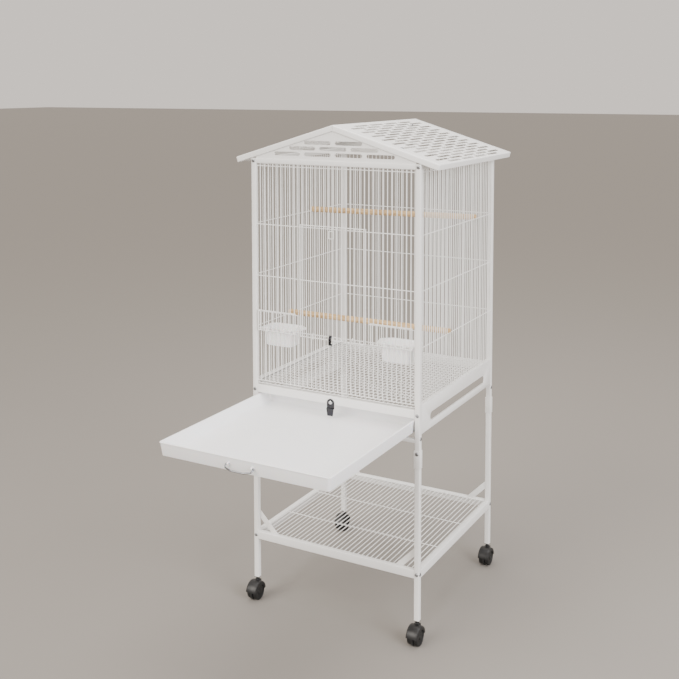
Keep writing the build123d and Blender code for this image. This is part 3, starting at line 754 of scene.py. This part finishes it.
def build_slot_tree():
    tree, given = new_tree("brick_slots", {
        "Rows": "Int", "Slots": "Int", "Row pitch": "Float", "Slot pitch": "Float", "Slot length": "Float",
        "Slot width": "Float", "Reach": "Float", "Narrowing": "Float", "First shifted": "Int",
        "Depth": "Float", "Place": "Vector", "Turn": "Vector"})
    here = add_node(tree, "ShaderNodeSeparateXYZ", {0: add_node(tree, "GeometryNodeInputPosition")})
    known = {**dict(given.items()), "across": here.outputs["X"], "up": here.outputs["Y"]}
    for result, operation, a, b in (
            # a centred grid, as wide and high as its slots and rows need
            ("row gaps", "SUBTRACT", "Rows", 1.0), ("row span", "MULTIPLY", "row gaps", "Row pitch"),
            ("slot gaps", "SUBTRACT", "Slots", 1.0), ("slot span", "MULTIPLY", "slot gaps", "Slot pitch"),
            ("half span", "MULTIPLY", "row span", 0.5),
            # every second row moves half a pitch sideways, and the first row moves to height 0
            ("height", "ADD", "up", "half span"), ("rows up", "DIVIDE", "height", "Row pitch"),
            ("row", "ROUND", "rows up", 0.0), ("counted row", "ADD", "row", "First shifted"),
            ("parity", "FLOORED_MODULO", "counted row", 2.0),
            ("whole shift", "MULTIPLY", "parity", "Slot pitch"), ("shift", "MULTIPLY", "whole shift", 0.5),
            # a slot is dropped where its end would pass the reach, which narrows from row to row
            ("from middle", "ABSOLUTE", "across", 0.0), ("half slot", "MULTIPLY", "Slot length", 0.5),
            ("end", "ADD", "from middle", "half slot"), ("rows now", "DIVIDE", "up", "Row pitch"),
            ("row now", "ROUND", "rows now", 0.0), ("narrowed", "MULTIPLY", "row now", "Narrowing"),
            ("limit", "SUBTRACT", "Reach", "narrowed"), ("outside", "GREATER_THAN", "end", "limit"),
            # just under half the width, so that the rounded ends do not meet
            ("end radius", "MULTIPLY", "Slot width", 0.499), ("below", "MULTIPLY", "Depth", -1.0)):
        known[result] = add_node(tree, "ShaderNodeMath", {0: known.get(a, a), 1: known.get(b, b)},
                                 operation=operation)
    points = add_node(tree, "GeometryNodeMeshGrid", {
        "Size X": known["slot span"], "Size Y": known["row span"], "Vertices X": given["Slots"],
        "Vertices Y": given["Rows"]})
    offset = add_node(tree, "ShaderNodeCombineXYZ", {"X": known["shift"], "Y": known["half span"]})
    moved = add_node(tree, "GeometryNodeSetPosition", {"Geometry": points, "Offset": offset})
    kept = add_node(tree, "GeometryNodeDeleteGeometry", {"Geometry": moved, "Selection": known["outside"]},
                    domain="POINT")
    # the cutter is a rounded slot outline swept through the sheet
    outline = add_node(tree, "GeometryNodeCurvePrimitiveQuadrilateral", {
        "Width": given["Slot length"], "Height": given["Slot width"]})
    rounded = add_node(tree, "GeometryNodeFilletCurve", {
        "Curve": outline, "Count": SLOT_END_STEPS, "Radius": known["end radius"]}, mode="POLY")
    low = add_node(tree, "ShaderNodeCombineXYZ", {"Z": known["below"]})
    high = add_node(tree, "ShaderNodeCombineXYZ", {"Z": given["Depth"]})
    spine = add_node(tree, "GeometryNodeCurvePrimitiveLine", {"Start": low, "End": high})
    cutter = add_node(tree, "GeometryNodeCurveToMesh", {
        "Curve": spine, "Profile Curve": rounded, "Fill Caps": True})
    copies = add_node(tree, "GeometryNodeInstanceOnPoints", {"Points": kept, "Instance": cutter})
    solid = add_node(tree, "GeometryNodeRealizeInstances", {"Geometry": copies})
    turned = add_node(tree, "GeometryNodeTransform", {
        "Geometry": solid, "Translation": given["Place"], "Rotation": given["Turn"]})
    cut = add_node(tree, "GeometryNodeMeshBoolean", {"Mesh 1": given["Geometry"], "Mesh 2": turned},
                   operation="DIFFERENCE", solver="EXACT")
    return end_tree(tree, cut, given["Finish"])


slot_tree = build_slot_tree()


def slotted_piece(part, sheet, rows, slots, reach, narrowing, place, turn):
    """Punch the sheet; every length is in millimetres."""
    values = {"Rows": rows, "Slots": slots, "Row pitch": SLOT_PITCH[1] * MM,
              "Slot pitch": SLOT_PITCH[0] * MM, "Slot length": SLOT[0] * MM, "Slot width": SLOT[1] * MM,
              "Reach": reach * MM, "Narrowing": narrowing * MM, "First shifted": 1,
              "Depth": 4 * SHEET * MM, "Place": Vector(place) * MM, "Turn": Vector(turn),
              "Finish": powder_coat}
    return grown_piece(f"{part}_sheet", sheet, slot_tree, [values], CAGE, [part])

# %% [markdown]
# ## Roof sheets
#
# Each slope is one sheet, folded down round its eave and rakes and cut straight at the ridge.
# The same rounded outline is repeated at falling heights to make the fold. The outline runs on
# past the ridge, and a plane trims it there, which keeps the ridge end square.

# %% Roof sheets
ROOF_APEX = 1212.0
ROOF_EAVE = (275.2, 1127.5)
ROOF_SLOPE = atan2(ROOF_APEX - ROOF_EAVE[1], ROOF_EAVE[0])
ROOF_LIP = 13.5
ROOF_CORNER = 5.0
FOLD_RADIUS = 2.5
FOLD_STEPS = 4
PAST_RIDGE = 40.0
ROOF_START = 0.6     # the two sheets stop this far short of the ridge line
FIRST_ROOF_ROW = 6.0 + SLOT_PITCH[1]
EAVE_MARGIN = 12.0
RAKE_MARGIN = 14.0
ROOF_SLOTS = 7


def on_roof(s, run, y):
    """The point `run` down the slope; s is -1 on the left and 1 on the right."""
    return Vector((s * run * cos(ROOF_SLOPE), y, ROOF_APEX - run * sin(ROOF_SLOPE)))


def fold_profile():
    """(inset, height) up the inside of a folded edge from its lip, then down its outside."""
    turns = [radians(90 * i / FOLD_STEPS) for i in range(FOLD_STEPS + 1)]
    inner = FOLD_RADIUS - SHEET
    inside = [(FOLD_RADIUS - inner * sin(t), -FOLD_RADIUS + inner * cos(t)) for t in turns]
    outside = [(FOLD_RADIUS - FOLD_RADIUS * sin(t), -FOLD_RADIUS + FOLD_RADIUS * cos(t)) for t in turns]
    edge = [(SHEET, -ROOF_LIP + 0.3), (SHEET * 0.7, -ROOF_LIP), (SHEET * 0.3, -ROOF_LIP),
            (0.0, -ROOF_LIP + 0.3)]
    return inside + edge + list(reversed(outside))


def make_roof_sheet(side, s):
    half = box_mm(f"roof_{side}")[1].y
    run = hypot(ROOF_EAVE[0], ROOF_APEX - ROOF_EAVE[1])
    half_run = (run + PAST_RIDGE) / 2
    middle = (run - PAST_RIDGE) / 2

    def place(u, v, w):
        x = v * cos(ROOF_SLOPE) + w * sin(ROOF_SLOPE)
        z = ROOF_APEX - v * sin(ROOF_SLOPE) + w * cos(ROOF_SLOPE)
        return Vector((s * x, u, z)) * MM

    bm = bmesh.new()
    rings = [(shifted_loop(half - inset, half_run - inset, max(ROOF_CORNER - inset, 1.0), (0.0, middle)), w)
             for inset, w in fold_profile()]
    ring_shell(bm, rings, place)
    gap = ROOF_START * cos(ROOF_SLOPE) * MM
    everything = list(bm.verts) + list(bm.edges) + list(bm.faces)
    cut = bmesh.ops.bisect_plane(bm, geom=everything, plane_co=(s * gap, 0, 0), plane_no=(-s, 0, 0),
                                 clear_outer=True)
    rim = [item for item in cut["geom_cut"] if isinstance(item, bmesh.types.BMEdge)]
    bmesh.ops.contextual_create(bm, geom=rim)
    bmesh.ops.recalc_face_normals(bm, faces=bm.faces)
    sheet = plain_mesh(bm, f"roof_{side}_folded")
    rows = int((run - EAVE_MARGIN - FIRST_ROOF_ROW) // SLOT_PITCH[1]) + 1
    turn = Euler((0, s * ROOF_SLOPE, 0)).to_matrix() @ Euler((0, 0, -s * pi / 2)).to_matrix()
    return slotted_piece(f"roof_{side}", sheet, rows, ROOF_SLOTS, half - RAKE_MARGIN, 0.0,
                         on_roof(s, FIRST_ROOF_ROW, 0), turn.to_euler())


HANDS = (("left", -1), ("right", 1))
for side, s in HANDS:
    make_roof_sheet(side, s)

# %% [markdown]
# ## Gables
#
# The gables are flat five-sided plates under the roof, with three rows of the same slots. The
# rows get shorter towards the peak, so the tree's reach narrows from row to row.

# %% Gables
GABLE_ROW_Z = 1140.3
GABLE_PEAK = 1199.5
GABLE_FALL = 0.316   # fall of the sloping edge per millimetre from the middle
GABLE_ROWS = 3
GABLE_SLOTS = 5
GABLE_REACH = 180.0
GABLE_NARROWING = 45.0


def make_gable(end):
    low, high = box_mm(f"gable_{end}")
    shoulder = GABLE_PEAK - GABLE_FALL * high.x
    y = (low.y + high.y) / 2
    corners = [(low.x, low.z), (high.x, low.z), (high.x, shoulder), (0, high.z), (low.x, shoulder)]
    bm = bmesh.new()
    front = [bm.verts.new(Vector((x, y - SHEET / 2, z)) * MM) for x, z in corners]
    back = [bm.verts.new(Vector((x, y + SHEET / 2, z)) * MM) for x, z in corners]
    bridge(bm, front, back)
    bm.faces.new(front)
    bm.faces.new(list(reversed(back)))
    bmesh.ops.recalc_face_normals(bm, faces=bm.faces)
    return slotted_piece(f"gable_{end}", plain_mesh(bm, f"gable_{end}_plate"), GABLE_ROWS, GABLE_SLOTS,
                         GABLE_REACH, GABLE_NARROWING, (0, y, GABLE_ROW_Z), (pi / 2, 0, 0))


for end in ("front", "rear"):
    make_gable(end)

# %% [markdown]
# ## Screws
#
# The cage is bolted together with small pan-head screws. Each head is a flattened dome with a
# cross recess. One Geometry Nodes tree makes a head and sets a copy on every marked point,
# turned along that point's own outward direction.

# %% Screw tree
SCREW_RADIUS = 4.5
SCREW_HEIGHT = 2.2
RECESS_WIDTH = 1.1


def build_screw_tree():
    tree, given = new_tree("pan_head_screws", {
        "Head radius": "Float", "Head height": "Float", "Recess width": "Float"})
    height, recess = given["Head height"], given["Recess width"]
    ball = add_node(tree, "GeometryNodeMeshUVSphere", {
        "Segments": 20, "Rings": 10, "Radius": given["Head radius"]})
    squash = add_node(tree, "ShaderNodeMath", {0: height, 1: given["Head radius"]}, operation="DIVIDE")
    flat = add_node(tree, "ShaderNodeCombineXYZ", {"X": 1.0, "Y": 1.0, "Z": squash})
    dome = add_node(tree, "GeometryNodeTransform", {"Geometry": ball, "Scale": flat})
    # two bars across the top of the dome cut the recess
    arm = add_node(tree, "ShaderNodeMath", {0: given["Head radius"], 1: 1.1}, operation="MULTIPLY")
    lift = add_node(tree, "ShaderNodeCombineXYZ", {"Z": height})
    cross = []
    for length, width in ((arm, recess), (recess, arm)):
        size = add_node(tree, "ShaderNodeCombineXYZ", {"X": length, "Y": width, "Z": height})
        bar = add_node(tree, "GeometryNodeMeshCube", {"Size": size})
        cross.append(add_node(tree, "GeometryNodeTransform", {"Geometry": bar, "Translation": lift}))
    head = add_node(tree, "GeometryNodeMeshBoolean", {"Mesh 1": dome, "Mesh 2": cross},
                    operation="DIFFERENCE", solver="EXACT")
    facing = add_node(tree, "GeometryNodeInputNamedAttribute", {"Name": "facing"}, data_type="FLOAT_VECTOR")
    turn = add_node(tree, "FunctionNodeAlignRotationToVector", {"Vector": facing.outputs["Attribute"]},
                    axis="Z")
    copies = add_node(tree, "GeometryNodeInstanceOnPoints", {
        "Points": given["Geometry"], "Instance": head, "Rotation": turn})
    return end_tree(tree, copies, given["Finish"])


screw_tree = build_screw_tree()

# %% [markdown]
# ## Where the screws go
#
# Screws hold the walls and rails to the posts, the sleeves to the legs, and the roof to its
# frame. Each place is a point and an outward direction, worked out from the parts that it joins,
# so a screw follows its part if a size changes.

# %% Screw places
POST_SCREWS = (1120.0, 545.0)
SIDE_SCREW = 490.0
SLEEVE_SCREW_DROP = 8.0
ROOF_SCREWS = ((42.0, 126.0), (152.0, 168.0), (176.0, -211.0))


def screw_piece(name, places, node):
    mesh = bpy.data.meshes.new(name + "_points")
    mesh.from_pydata([tuple(Vector(point) * MM) for point, facing in places], [], [])
    facing = mesh.attributes.new("facing", "FLOAT_VECTOR", "POINT")
    for number, (point, direction) in enumerate(places):
        facing.data[number].vector = direction
    values = {"Head radius": SCREW_RADIUS * MM, "Head height": SCREW_HEIGHT * MM,
              "Recess width": RECESS_WIDTH * MM, "Finish": screw_zinc}
    print(name, len(places), "screws")
    return grown_piece(name, mesh, screw_tree, [values], CAGE, [node])


def place_screws():
    cage = []
    legs = []
    sleeve_low, sleeve_high = box_mm("joint_sleeves")
    shelf_low, shelf_high = box_mm("shelf_rail_front")
    shelf_z = (shelf_low.z + shelf_high.z) / 2
    for corner in CORNERS:
        low, high = box_mm(f"post_{corner}")
        centre, half = (low + high) / 2, (high.x - low.x) / 2
        sx = 1 if "right" in corner else -1
        sy = 1 if "rear" in corner else -1
        face_y = (0, sy, 0)
        face_x = (sx, 0, 0)
        for z in POST_SCREWS:
            cage.append(((centre.x, centre.y + sy * half, z), face_y))
        cage.append(((centre.x + sx * half, centre.y, SIDE_SCREW), face_x))
        legs.append(((centre.x, sleeve_high.y * sy, sleeve_high.z - SLEEVE_SCREW_DROP), face_y))
        legs.append(((centre.x, centre.y + sy * half, shelf_z), face_y))
        legs.append(((centre.x + sx * half, centre.y, shelf_z), face_x))
    for side, s in HANDS:
        for run, y in ROOF_SCREWS:
            cage.append((on_roof(s, run, y), (s * sin(ROOF_SLOPE), 0, cos(ROOF_SLOPE))))
    screw_piece("cage_screw_heads", cage, "cage_screws")
    screw_piece("leg_screw_heads", legs, "leg_screws")


place_screws()

# %% [markdown]
# ## Litter tray
#
# The tray is one shallow moulding. Its walls lean slightly so that it leaves the mould, the rim
# is a small bead, and inside the walls slope down to the floor through a soft radius. A table of
# insets, heights and corner radii walks over that section once, from the foot to the floor.

# %% Tray
WALL_INSET = 1.5
FOOT = WALL_INSET + 3.0
MOUTH = WALL_INSET + 2.5
TRAY_FLOOR = MOUTH + 8.0


def make_tray():
    low, high = box_mm("tray")
    centre = ((low.x + high.x) / 2, (low.y + high.y) / 2)
    half_u, half_v = (high.x - low.x) / 2, (high.y - low.y) / 2
    foot = [(FOOT + 2.0, low.z, 5), (FOOT + 0.6, low.z + 0.5, 6), (FOOT, low.z + 2.0, 6.5)]
    rim = [(WALL_INSET, high.z - 2.9, 6.5), (0.5, high.z - 2.5, 7), (0.0, high.z - 2.0, 7.5),
           (0.0, high.z - 0.8, 7.5), (0.6, high.z, 7), (MOUTH - 0.6, high.z, 4.5), (MOUTH, high.z - 0.7, 4)]
    inside = [(MOUTH + 5.2, low.z + 9.0, 5), (TRAY_FLOOR - 1.0, low.z + 5.4, 6),
              (TRAY_FLOOR + 1.5, low.z + 3.4, 7), (TRAY_FLOOR + 5.0, low.z + 2.6, 8),
              (TRAY_FLOOR + 12.0, low.z + 2.5, 9)]
    rings = [(shifted_loop(half_u - inset, half_v - inset, corner, centre, 6), z)
             for inset, z, corner in foot + rim + inside]
    bm = bmesh.new()
    ring_shell(bm, rings)
    mesh = smooth_mesh(bm, "litter_tray", 30)
    print("tray", len(mesh.polygons), "faces")
    return piece("litter_tray", mesh, tray_plastic, "tray", ["tray"])


make_tray()

# %% [markdown]
# ## Feeder bowls
#
# Each bowl is a deep cup with a wide rim. The rim's plan is an irregular six-sided shape, with
# its rear corners cut off. It is sampled by angle about the cup's centre, so that it has as many
# points as the cup's own outline and the two can be bridged. Two hooks hang on the wall wire.

# %% Outlines sampled by angle
BOWL_POINTS = 96


def ray_to_outline(corners, centre, angle):
    """Distance from centre to a convex outline along one direction."""
    direction = Vector((cos(angle), sin(angle)))
    best = 0.0
    for a, b in zip(corners, corners[1:] + corners[:1]):
        a, b = Vector(a) - centre, Vector(b) - centre
        edge = b - a
        across = direction.x * edge.y - direction.y * edge.x
        if abs(across) < 1e-9:
            continue
        reach = (a.x * edge.y - a.y * edge.x) / across
        along = (a.x * direction.y - a.y * direction.x) / across
        if reach > 0 and -1e-6 <= along <= 1 + 1e-6:
            best = max(best, reach)
    return best


def sampled(corners, centre, soften=0, inset=0.0):
    """The outline as evenly turned rays, softened at its corners."""
    angles = [2 * pi * i / BOWL_POINTS for i in range(BOWL_POINTS)]
    reaches = [ray_to_outline(corners, centre, angle) for angle in angles]
    for _ in range(soften):
        reaches = [(reaches[i - 1] + 2 * reaches[i] + reaches[(i + 1) % BOWL_POINTS]) / 4
                   for i in range(BOWL_POINTS)]
    return [(centre.x + (reach - inset) * cos(angle), centre.y + (reach - inset) * sin(angle))
            for reach, angle in zip(reaches, angles)]


print("a ray meets a 2 mm square at", ray_to_outline([(1, 1), (-1, 1), (-1, -1), (1, -1)], Vector((0, 0)), 0))

# %% Feeder bowls
BOWL_CENTRE = (162.0, -202.0)
BOWL_RIM = ((100, -186), (114, -235), (212, -235), (212, -180), (198, -166), (126, -166))
BOWL_RIM_Z = 702.0
CUP_HALVES = (41.0, 28.5)
HOOK_X = (138.0, 186.0)
HOOK_HALF_WIDTH = 2.5
HOOK_SECTION = [
    (-240.3, 699.3), (-239.9, 699.0), (-238.9, 699.0), (-238.6, 699.3), (-238.6, 703.1), (-238.2, 703.4),
    (-234.8, 703.4), (-234.8, 700.0), (-229.0, 701.6), (-229.0, 704.4), (-230.2, 705.2), (-239.4, 705.2),
    (-240.3, 704.2)]


def add_prism(bm, outline, x_low, x_high):
    """A closed prism along X from an outline of (y, z) points."""
    a = [bm.verts.new(Vector((x_low, y, z)) * MM) for y, z in outline]
    b = [bm.verts.new(Vector((x_high, y, z)) * MM) for y, z in outline]
    bridge(bm, a, b)
    bm.faces.new(list(reversed(a)))
    bm.faces.new(b)


def make_bowl(side, s):
    base = box_mm(f"feeder_bowl_{side}")[0].z
    centre = Vector((s * BOWL_CENTRE[0], BOWL_CENTRE[1]))
    rim = [(s * x, y) for x, y in BOWL_RIM]

    def cup(inset, corner):
        halves = [half - inset for half in CUP_HALVES]
        return sampled(shifted_loop(*halves, corner, (centre.x, centre.y), 8), centre)

    def rim_loop(inset):
        return sampled(rim, centre, 2, inset)

    foot = [(cup(8.0, 8), base + 0.8), (cup(6.5, 8), base), (cup(4.5, 9), base + 0.3),
            (cup(3.0, 10), base + 2.5)]
    top = [(cup(0.3, 12), -3.4), (cup(-0.6, 12), -2.6), (rim_loop(1.4), -2.6), (rim_loop(0.3), -2.9),
           (rim_loop(0.0), -1.5), (rim_loop(0.5), -0.3), (rim_loop(1.4), 0.0), (cup(0.6, 12), -0.2),
           (cup(1.8, 11), -0.9), (cup(2.3, 10), -2.5)]
    inside = [(cup(4.8, 9), base + 6.0), (cup(7.0, 8), base + 3.2), (cup(10.0, 7), base + 2.4)]
    bm = bmesh.new()
    ring_shell(bm, foot + [(loop, BOWL_RIM_Z + z) for loop, z in top] + inside)
    for x in HOOK_X:
        ends = sorted((s * (x - HOOK_HALF_WIDTH), s * (x + HOOK_HALF_WIDTH)))
        add_prism(bm, HOOK_SECTION, ends[0], ends[1])
    name = f"feeder_bowl_{side}_moulding"
    mesh = smooth_mesh(bm, name)
    print("bowl", side, len(mesh.polygons), "faces")
    return piece(name, mesh, bowl_plastic, f"feeder_bowl_{side}", [f"feeder_bowl_{side}"])


for side, s in HANDS:
    make_bowl(side, s)

# %% [markdown]
# ## The tray latch's rivet
#
# A hollow rivet holds the latch and lets it turn. It is round about its own axis, so half of its
# section is enough: the section is spun about the axis and closed. The same helper makes the
# casters, where some of the spins are partial and need their two ends capped.

# %% Spinning profiles
def spin_closed(bm, profile, axis_point, axis, first, steps, sweep=(0, 360)):
    """Spin a closed profile of (along, out) points about an axis; cap both ends if it is partial.
    `first` is the direction of `out` at angle 0, and `sweep` is in degrees."""
    start, end = radians(sweep[0]), radians(sweep[1])
    full = sweep[1] - sweep[0] == 360
    along_axis = Vector(axis).normalized()
    out = Vector(first).normalized()
    side = along_axis.cross(out)
    count = steps if full else steps + 1
    loops = []
    for i in range(count):
        angle = start + (end - start) * i / steps
        ray = out * cos(angle) + side * sin(angle)
        loops.append([bm.verts.new((Vector(axis_point) + along_axis * a + ray * r) * MM) for a, r in profile])
    pairs = list(zip(loops, loops[1:]))
    if full:
        pairs.append((loops[-1], loops[0]))
    for a, b in pairs:
        bridge(bm, a, b)
    if not full:
        bm.faces.new(list(reversed(loops[0])))
        bm.faces.new(loops[-1])


ring = bmesh.new()
spin_closed(ring, [(0, 1), (0, 2), (1, 2), (1, 1)], (0, 0, 0), (0, 0, 1), (1, 0, 0), 8)
print("a square section spun in 8 steps gives", len(ring.faces), "faces")
ring.free()

# %% Hollow rivet of the tray latch
RIVET_TRIM = 1.1     # the real head is a little smaller than the design's


def make_rivet():
    low, high = box_mm("latch_rivet")
    centre = (low + high) / 2
    head = high.y - low.y
    radius = (high.x - low.x) / 2 - RIVET_TRIM
    profile = [(0.0, 0.3), (0.0, 3.0), (head - 1.6, 3.0), (head - 1.6, radius), (head - 1.0, radius),
               (head - 0.3, radius - 0.7), (head, radius - 1.9), (head, 2.2), (head - 0.5, 1.9),
               (head - 1.4, 1.7), (head - 1.5, 0.3)]
    bm = bmesh.new()
    spin_closed(bm, profile, (centre.x, high.y, centre.z), (0, -1, 0), (0, 0, 1), 32)
    print("rivet head", round(2 * radius, 1), "mm across")
    # the rivet's lighter zinc paints a highlight
    return piece("tray_latch_rivet", smooth_mesh(bm, "tray_latch_rivet"), rivet_zinc_painted_highlight, CAGE,
                 ["latch_rivet"])


make_rivet()

# %% [markdown]
# ## Hooded twin-wheel casters
#
# A caster is a black moulded body with a central web, a stem that turns in the leg, and a hood
# that wraps over two wheels on one short axle. All round shapes are profiles spun about the axle
# or the stem. The hood is a partial spin, so its two ends are closed by hand.

# %% Wheel pairs
ALONG_X, UP = (1, 0, 0), (0, 0, 1)
WHEEL_GAP = 3.4      # from the middle of the caster to a wheel
RIM_PLAY = 0.4       # the wheels stop this far inside the hubs' ends
AXLE_RADIUS = 3.0


def make_wheels(corner):
    low, high = box_mm(f"caster_wheels_{corner}")
    centre = (low + high) / 2
    radius = (high.z - low.z) / 2
    outer = (high.x - low.x) / 2 - RIM_PLAY
    tread = [(WHEEL_GAP, AXLE_RADIUS), (WHEEL_GAP, radius - 2.0), (WHEEL_GAP + 0.8, radius - 0.5),
             (WHEEL_GAP + 2.2, radius), (outer - 2.2, radius), (outer - 0.7, radius - 0.6),
             (outer, radius - 2.2)]
    hub = [(outer, radius - 4.5), (outer - 1.6, radius - 5.3), (outer - 1.8, radius - 6.0),
           (outer - 1.8, 7.5), (outer - 1.4, 6.8), (outer, 6.2), (outer + 0.3, 5.4),
           (outer + 0.3, AXLE_RADIUS)]
    axle = [(-outer - 0.4, 0.4), (-outer - 0.4, 2.6), (-outer, AXLE_RADIUS), (outer, AXLE_RADIUS),
            (outer + 0.4, 2.6), (outer + 0.4, 0.4)]
    bm = bmesh.new()
    for s in (-1, 1):
        spin_closed(bm, [(s * a, r) for a, r in tread + hub], centre, ALONG_X, UP, 40)
    spin_closed(bm, axle, centre, ALONG_X, UP, 16)
    name = f"caster_wheels_{corner}_pair"
    return piece(name, smooth_mesh(bm, name), tyre_plastic, f"wheels_{corner}",
                 [f"caster_wheels_{corner}"])


print("the wheels of a pair stand", 2 * WHEEL_GAP, "mm apart")

# %% Caster hoods
HOOD_STANDOFF = 4.5
HOOD_SWEEP = (-84, 84)
WEB_SWEEP = (-140, 140)
BEAD_SWEEP = (52, 76)
BEAD_PLACE = 0.62    # share of the half width at which a bead stands


def rounded_profile(x0, x1, r0, r1, radius):
    """A rectangle in (along, out) with rounded corners."""
    return shifted_loop((x1 - x0) / 2, (r1 - r0) / 2, radius, ((x0 + x1) / 2, (r0 + r1) / 2), 2)


def make_hood(corner):
    wheel_low, wheel_high = box_mm(f"caster_wheels_{corner}")
    low, high = box_mm(f"caster_hood_{corner}")
    axle = (wheel_low + wheel_high) / 2
    leg_low, leg_high = box_mm(f"leg_{corner}")
    stem = (leg_low + leg_high) / 2
    radius = (wheel_high.z - wheel_low.z) / 2
    half = (high.x - low.x) / 2
    out = radius + HOOD_STANDOFF
    crown = radius + out
    shell = [(-half, radius - 3.0), (-half, out - 3.0), (-half + 0.9, out - 0.9), (-half + 3.0, out),
             (half - 3.0, out), (half - 0.9, out - 0.9), (half, out - 3.0), (half, radius - 3.0),
             (half - 1.0, radius - 3.0), (half - 1.0, radius + 1.4), (half - 2.2, radius + 2.0),
             (-half + 2.2, radius + 2.0), (-half + 1.0, radius + 1.4), (-half + 1.0, radius - 3.0)]
    bm = bmesh.new()
    spin_closed(bm, shell, axle, ALONG_X, UP, 28, HOOD_SWEEP)
    spin_closed(bm, rounded_profile(-3.0, 3.0, 3.1, radius + 2.3, 0.6), axle, ALONG_X, UP, 32, WEB_SWEEP)
    for x in (-half * BEAD_PLACE, half * BEAD_PLACE):
        bead = rounded_profile(x - 1.6, x + 1.6, out - 1.0, out, 0.45)
        spin_closed(bm, bead, axle, ALONG_X, UP, 8, BEAD_SWEEP)
    top = high.z - crown
    collar = [(-3.0, 0.5), (-3.0, 5.5), (1.0, 5.5), (1.8, 4.9), (2.0, 4.0), (top - 0.8, 4.0),
              (top, 3.2), (top, 0.5)]
    spin_closed(bm, collar, (stem.x, stem.y, crown), UP, ALONG_X, 24)
    neck = rounded_loop(7.4, 9.4, 2.5, 3)
    middle = (stem.x, (axle.y + stem.y + 5.0) / 2)
    rings = [([(middle[0] + a * k, middle[1] + b * k) for a, b in neck], z)
             for k, z in ((1.0, crown - 4.5), (1.0, crown - 0.7), (0.94, crown - 0.1))]
    ring_shell(bm, rings)
    name = f"caster_hood_{corner}_moulding"
    return piece(name, smooth_mesh(bm, name), caster_plastic, f"caster_{corner}",
                 [f"caster_hood_{corner}"])


for corner in CORNERS:
    make_wheels(corner)
    make_hood(corner)
print("made four casters")

# %% [markdown]
# ## Floor and light
#
# A plain pale floor, darker than the white coat so that thin wires still read against it. The
# main light is a distant source 40 degrees wide, like a big window at the front left: a small
# lamp would draw a hard shadow of every wire. A weaker light fills the right side, and one hangs
# above. The sky colour is a warm pale grey.

# %% Floor and light
FLOOR_HALF = 40.0
LIGHT_TARGET = Vector((0, 0, 0.75))


def add_floor():
    bm = bmesh.new()
    bmesh.ops.create_grid(bm, x_segments=1, y_segments=1, size=FLOOR_HALF)
    floor = link_mesh("studio_floor", plain_mesh(bm, "studio_floor"))
    paint, tree = new_material("studio_floor_paint")
    floor.data.materials.append(finish_material(paint, Base_Color=colour("#87827C"), Roughness=0.9))


def add_light(name, kind, place, direction, power, tint, **settings):
    data = bpy.data.lights.new(name, kind)
    data.energy = power
    data.color = colour(tint)[:3]
    for key, value in settings.items():
        setattr(data, key, value)
    lamp = bpy.data.objects.new(name, data)
    turn = Vector(direction).to_track_quat("-Z", "Y").to_matrix().to_4x4()
    lamp.matrix_world = Matrix.Translation(place) @ turn
    bpy.context.scene.collection.objects.link(lamp)


add_floor()
add_light("soft_window", "SUN", Vector(), (0.45, 1.0, -0.75), 2.9, "#FFFAF2", angle=radians(40))
for name, place, size, power, tint in (("side_fill", Vector((3.2, -1.4, 1.8)), 2.2, 170, "#FAFBFF"),
                                       ("overhead", Vector((0, 0.2, 3.4)), 2.4, 80, "#FFFFFF")):
    add_light(name, "AREA", place, LIGHT_TARGET - place, power, tint,
              shape="RECTANGLE", size=size, size_y=size)
world = bpy.data.worlds.new("studio")
world.use_nodes = True
background = world.node_tree.nodes["Background"]
background.inputs["Color"].default_value = colour("#D2CAC2")
background.inputs["Strength"].default_value = 1.5
bpy.context.scene.world = world
print("lit by three soft lights")
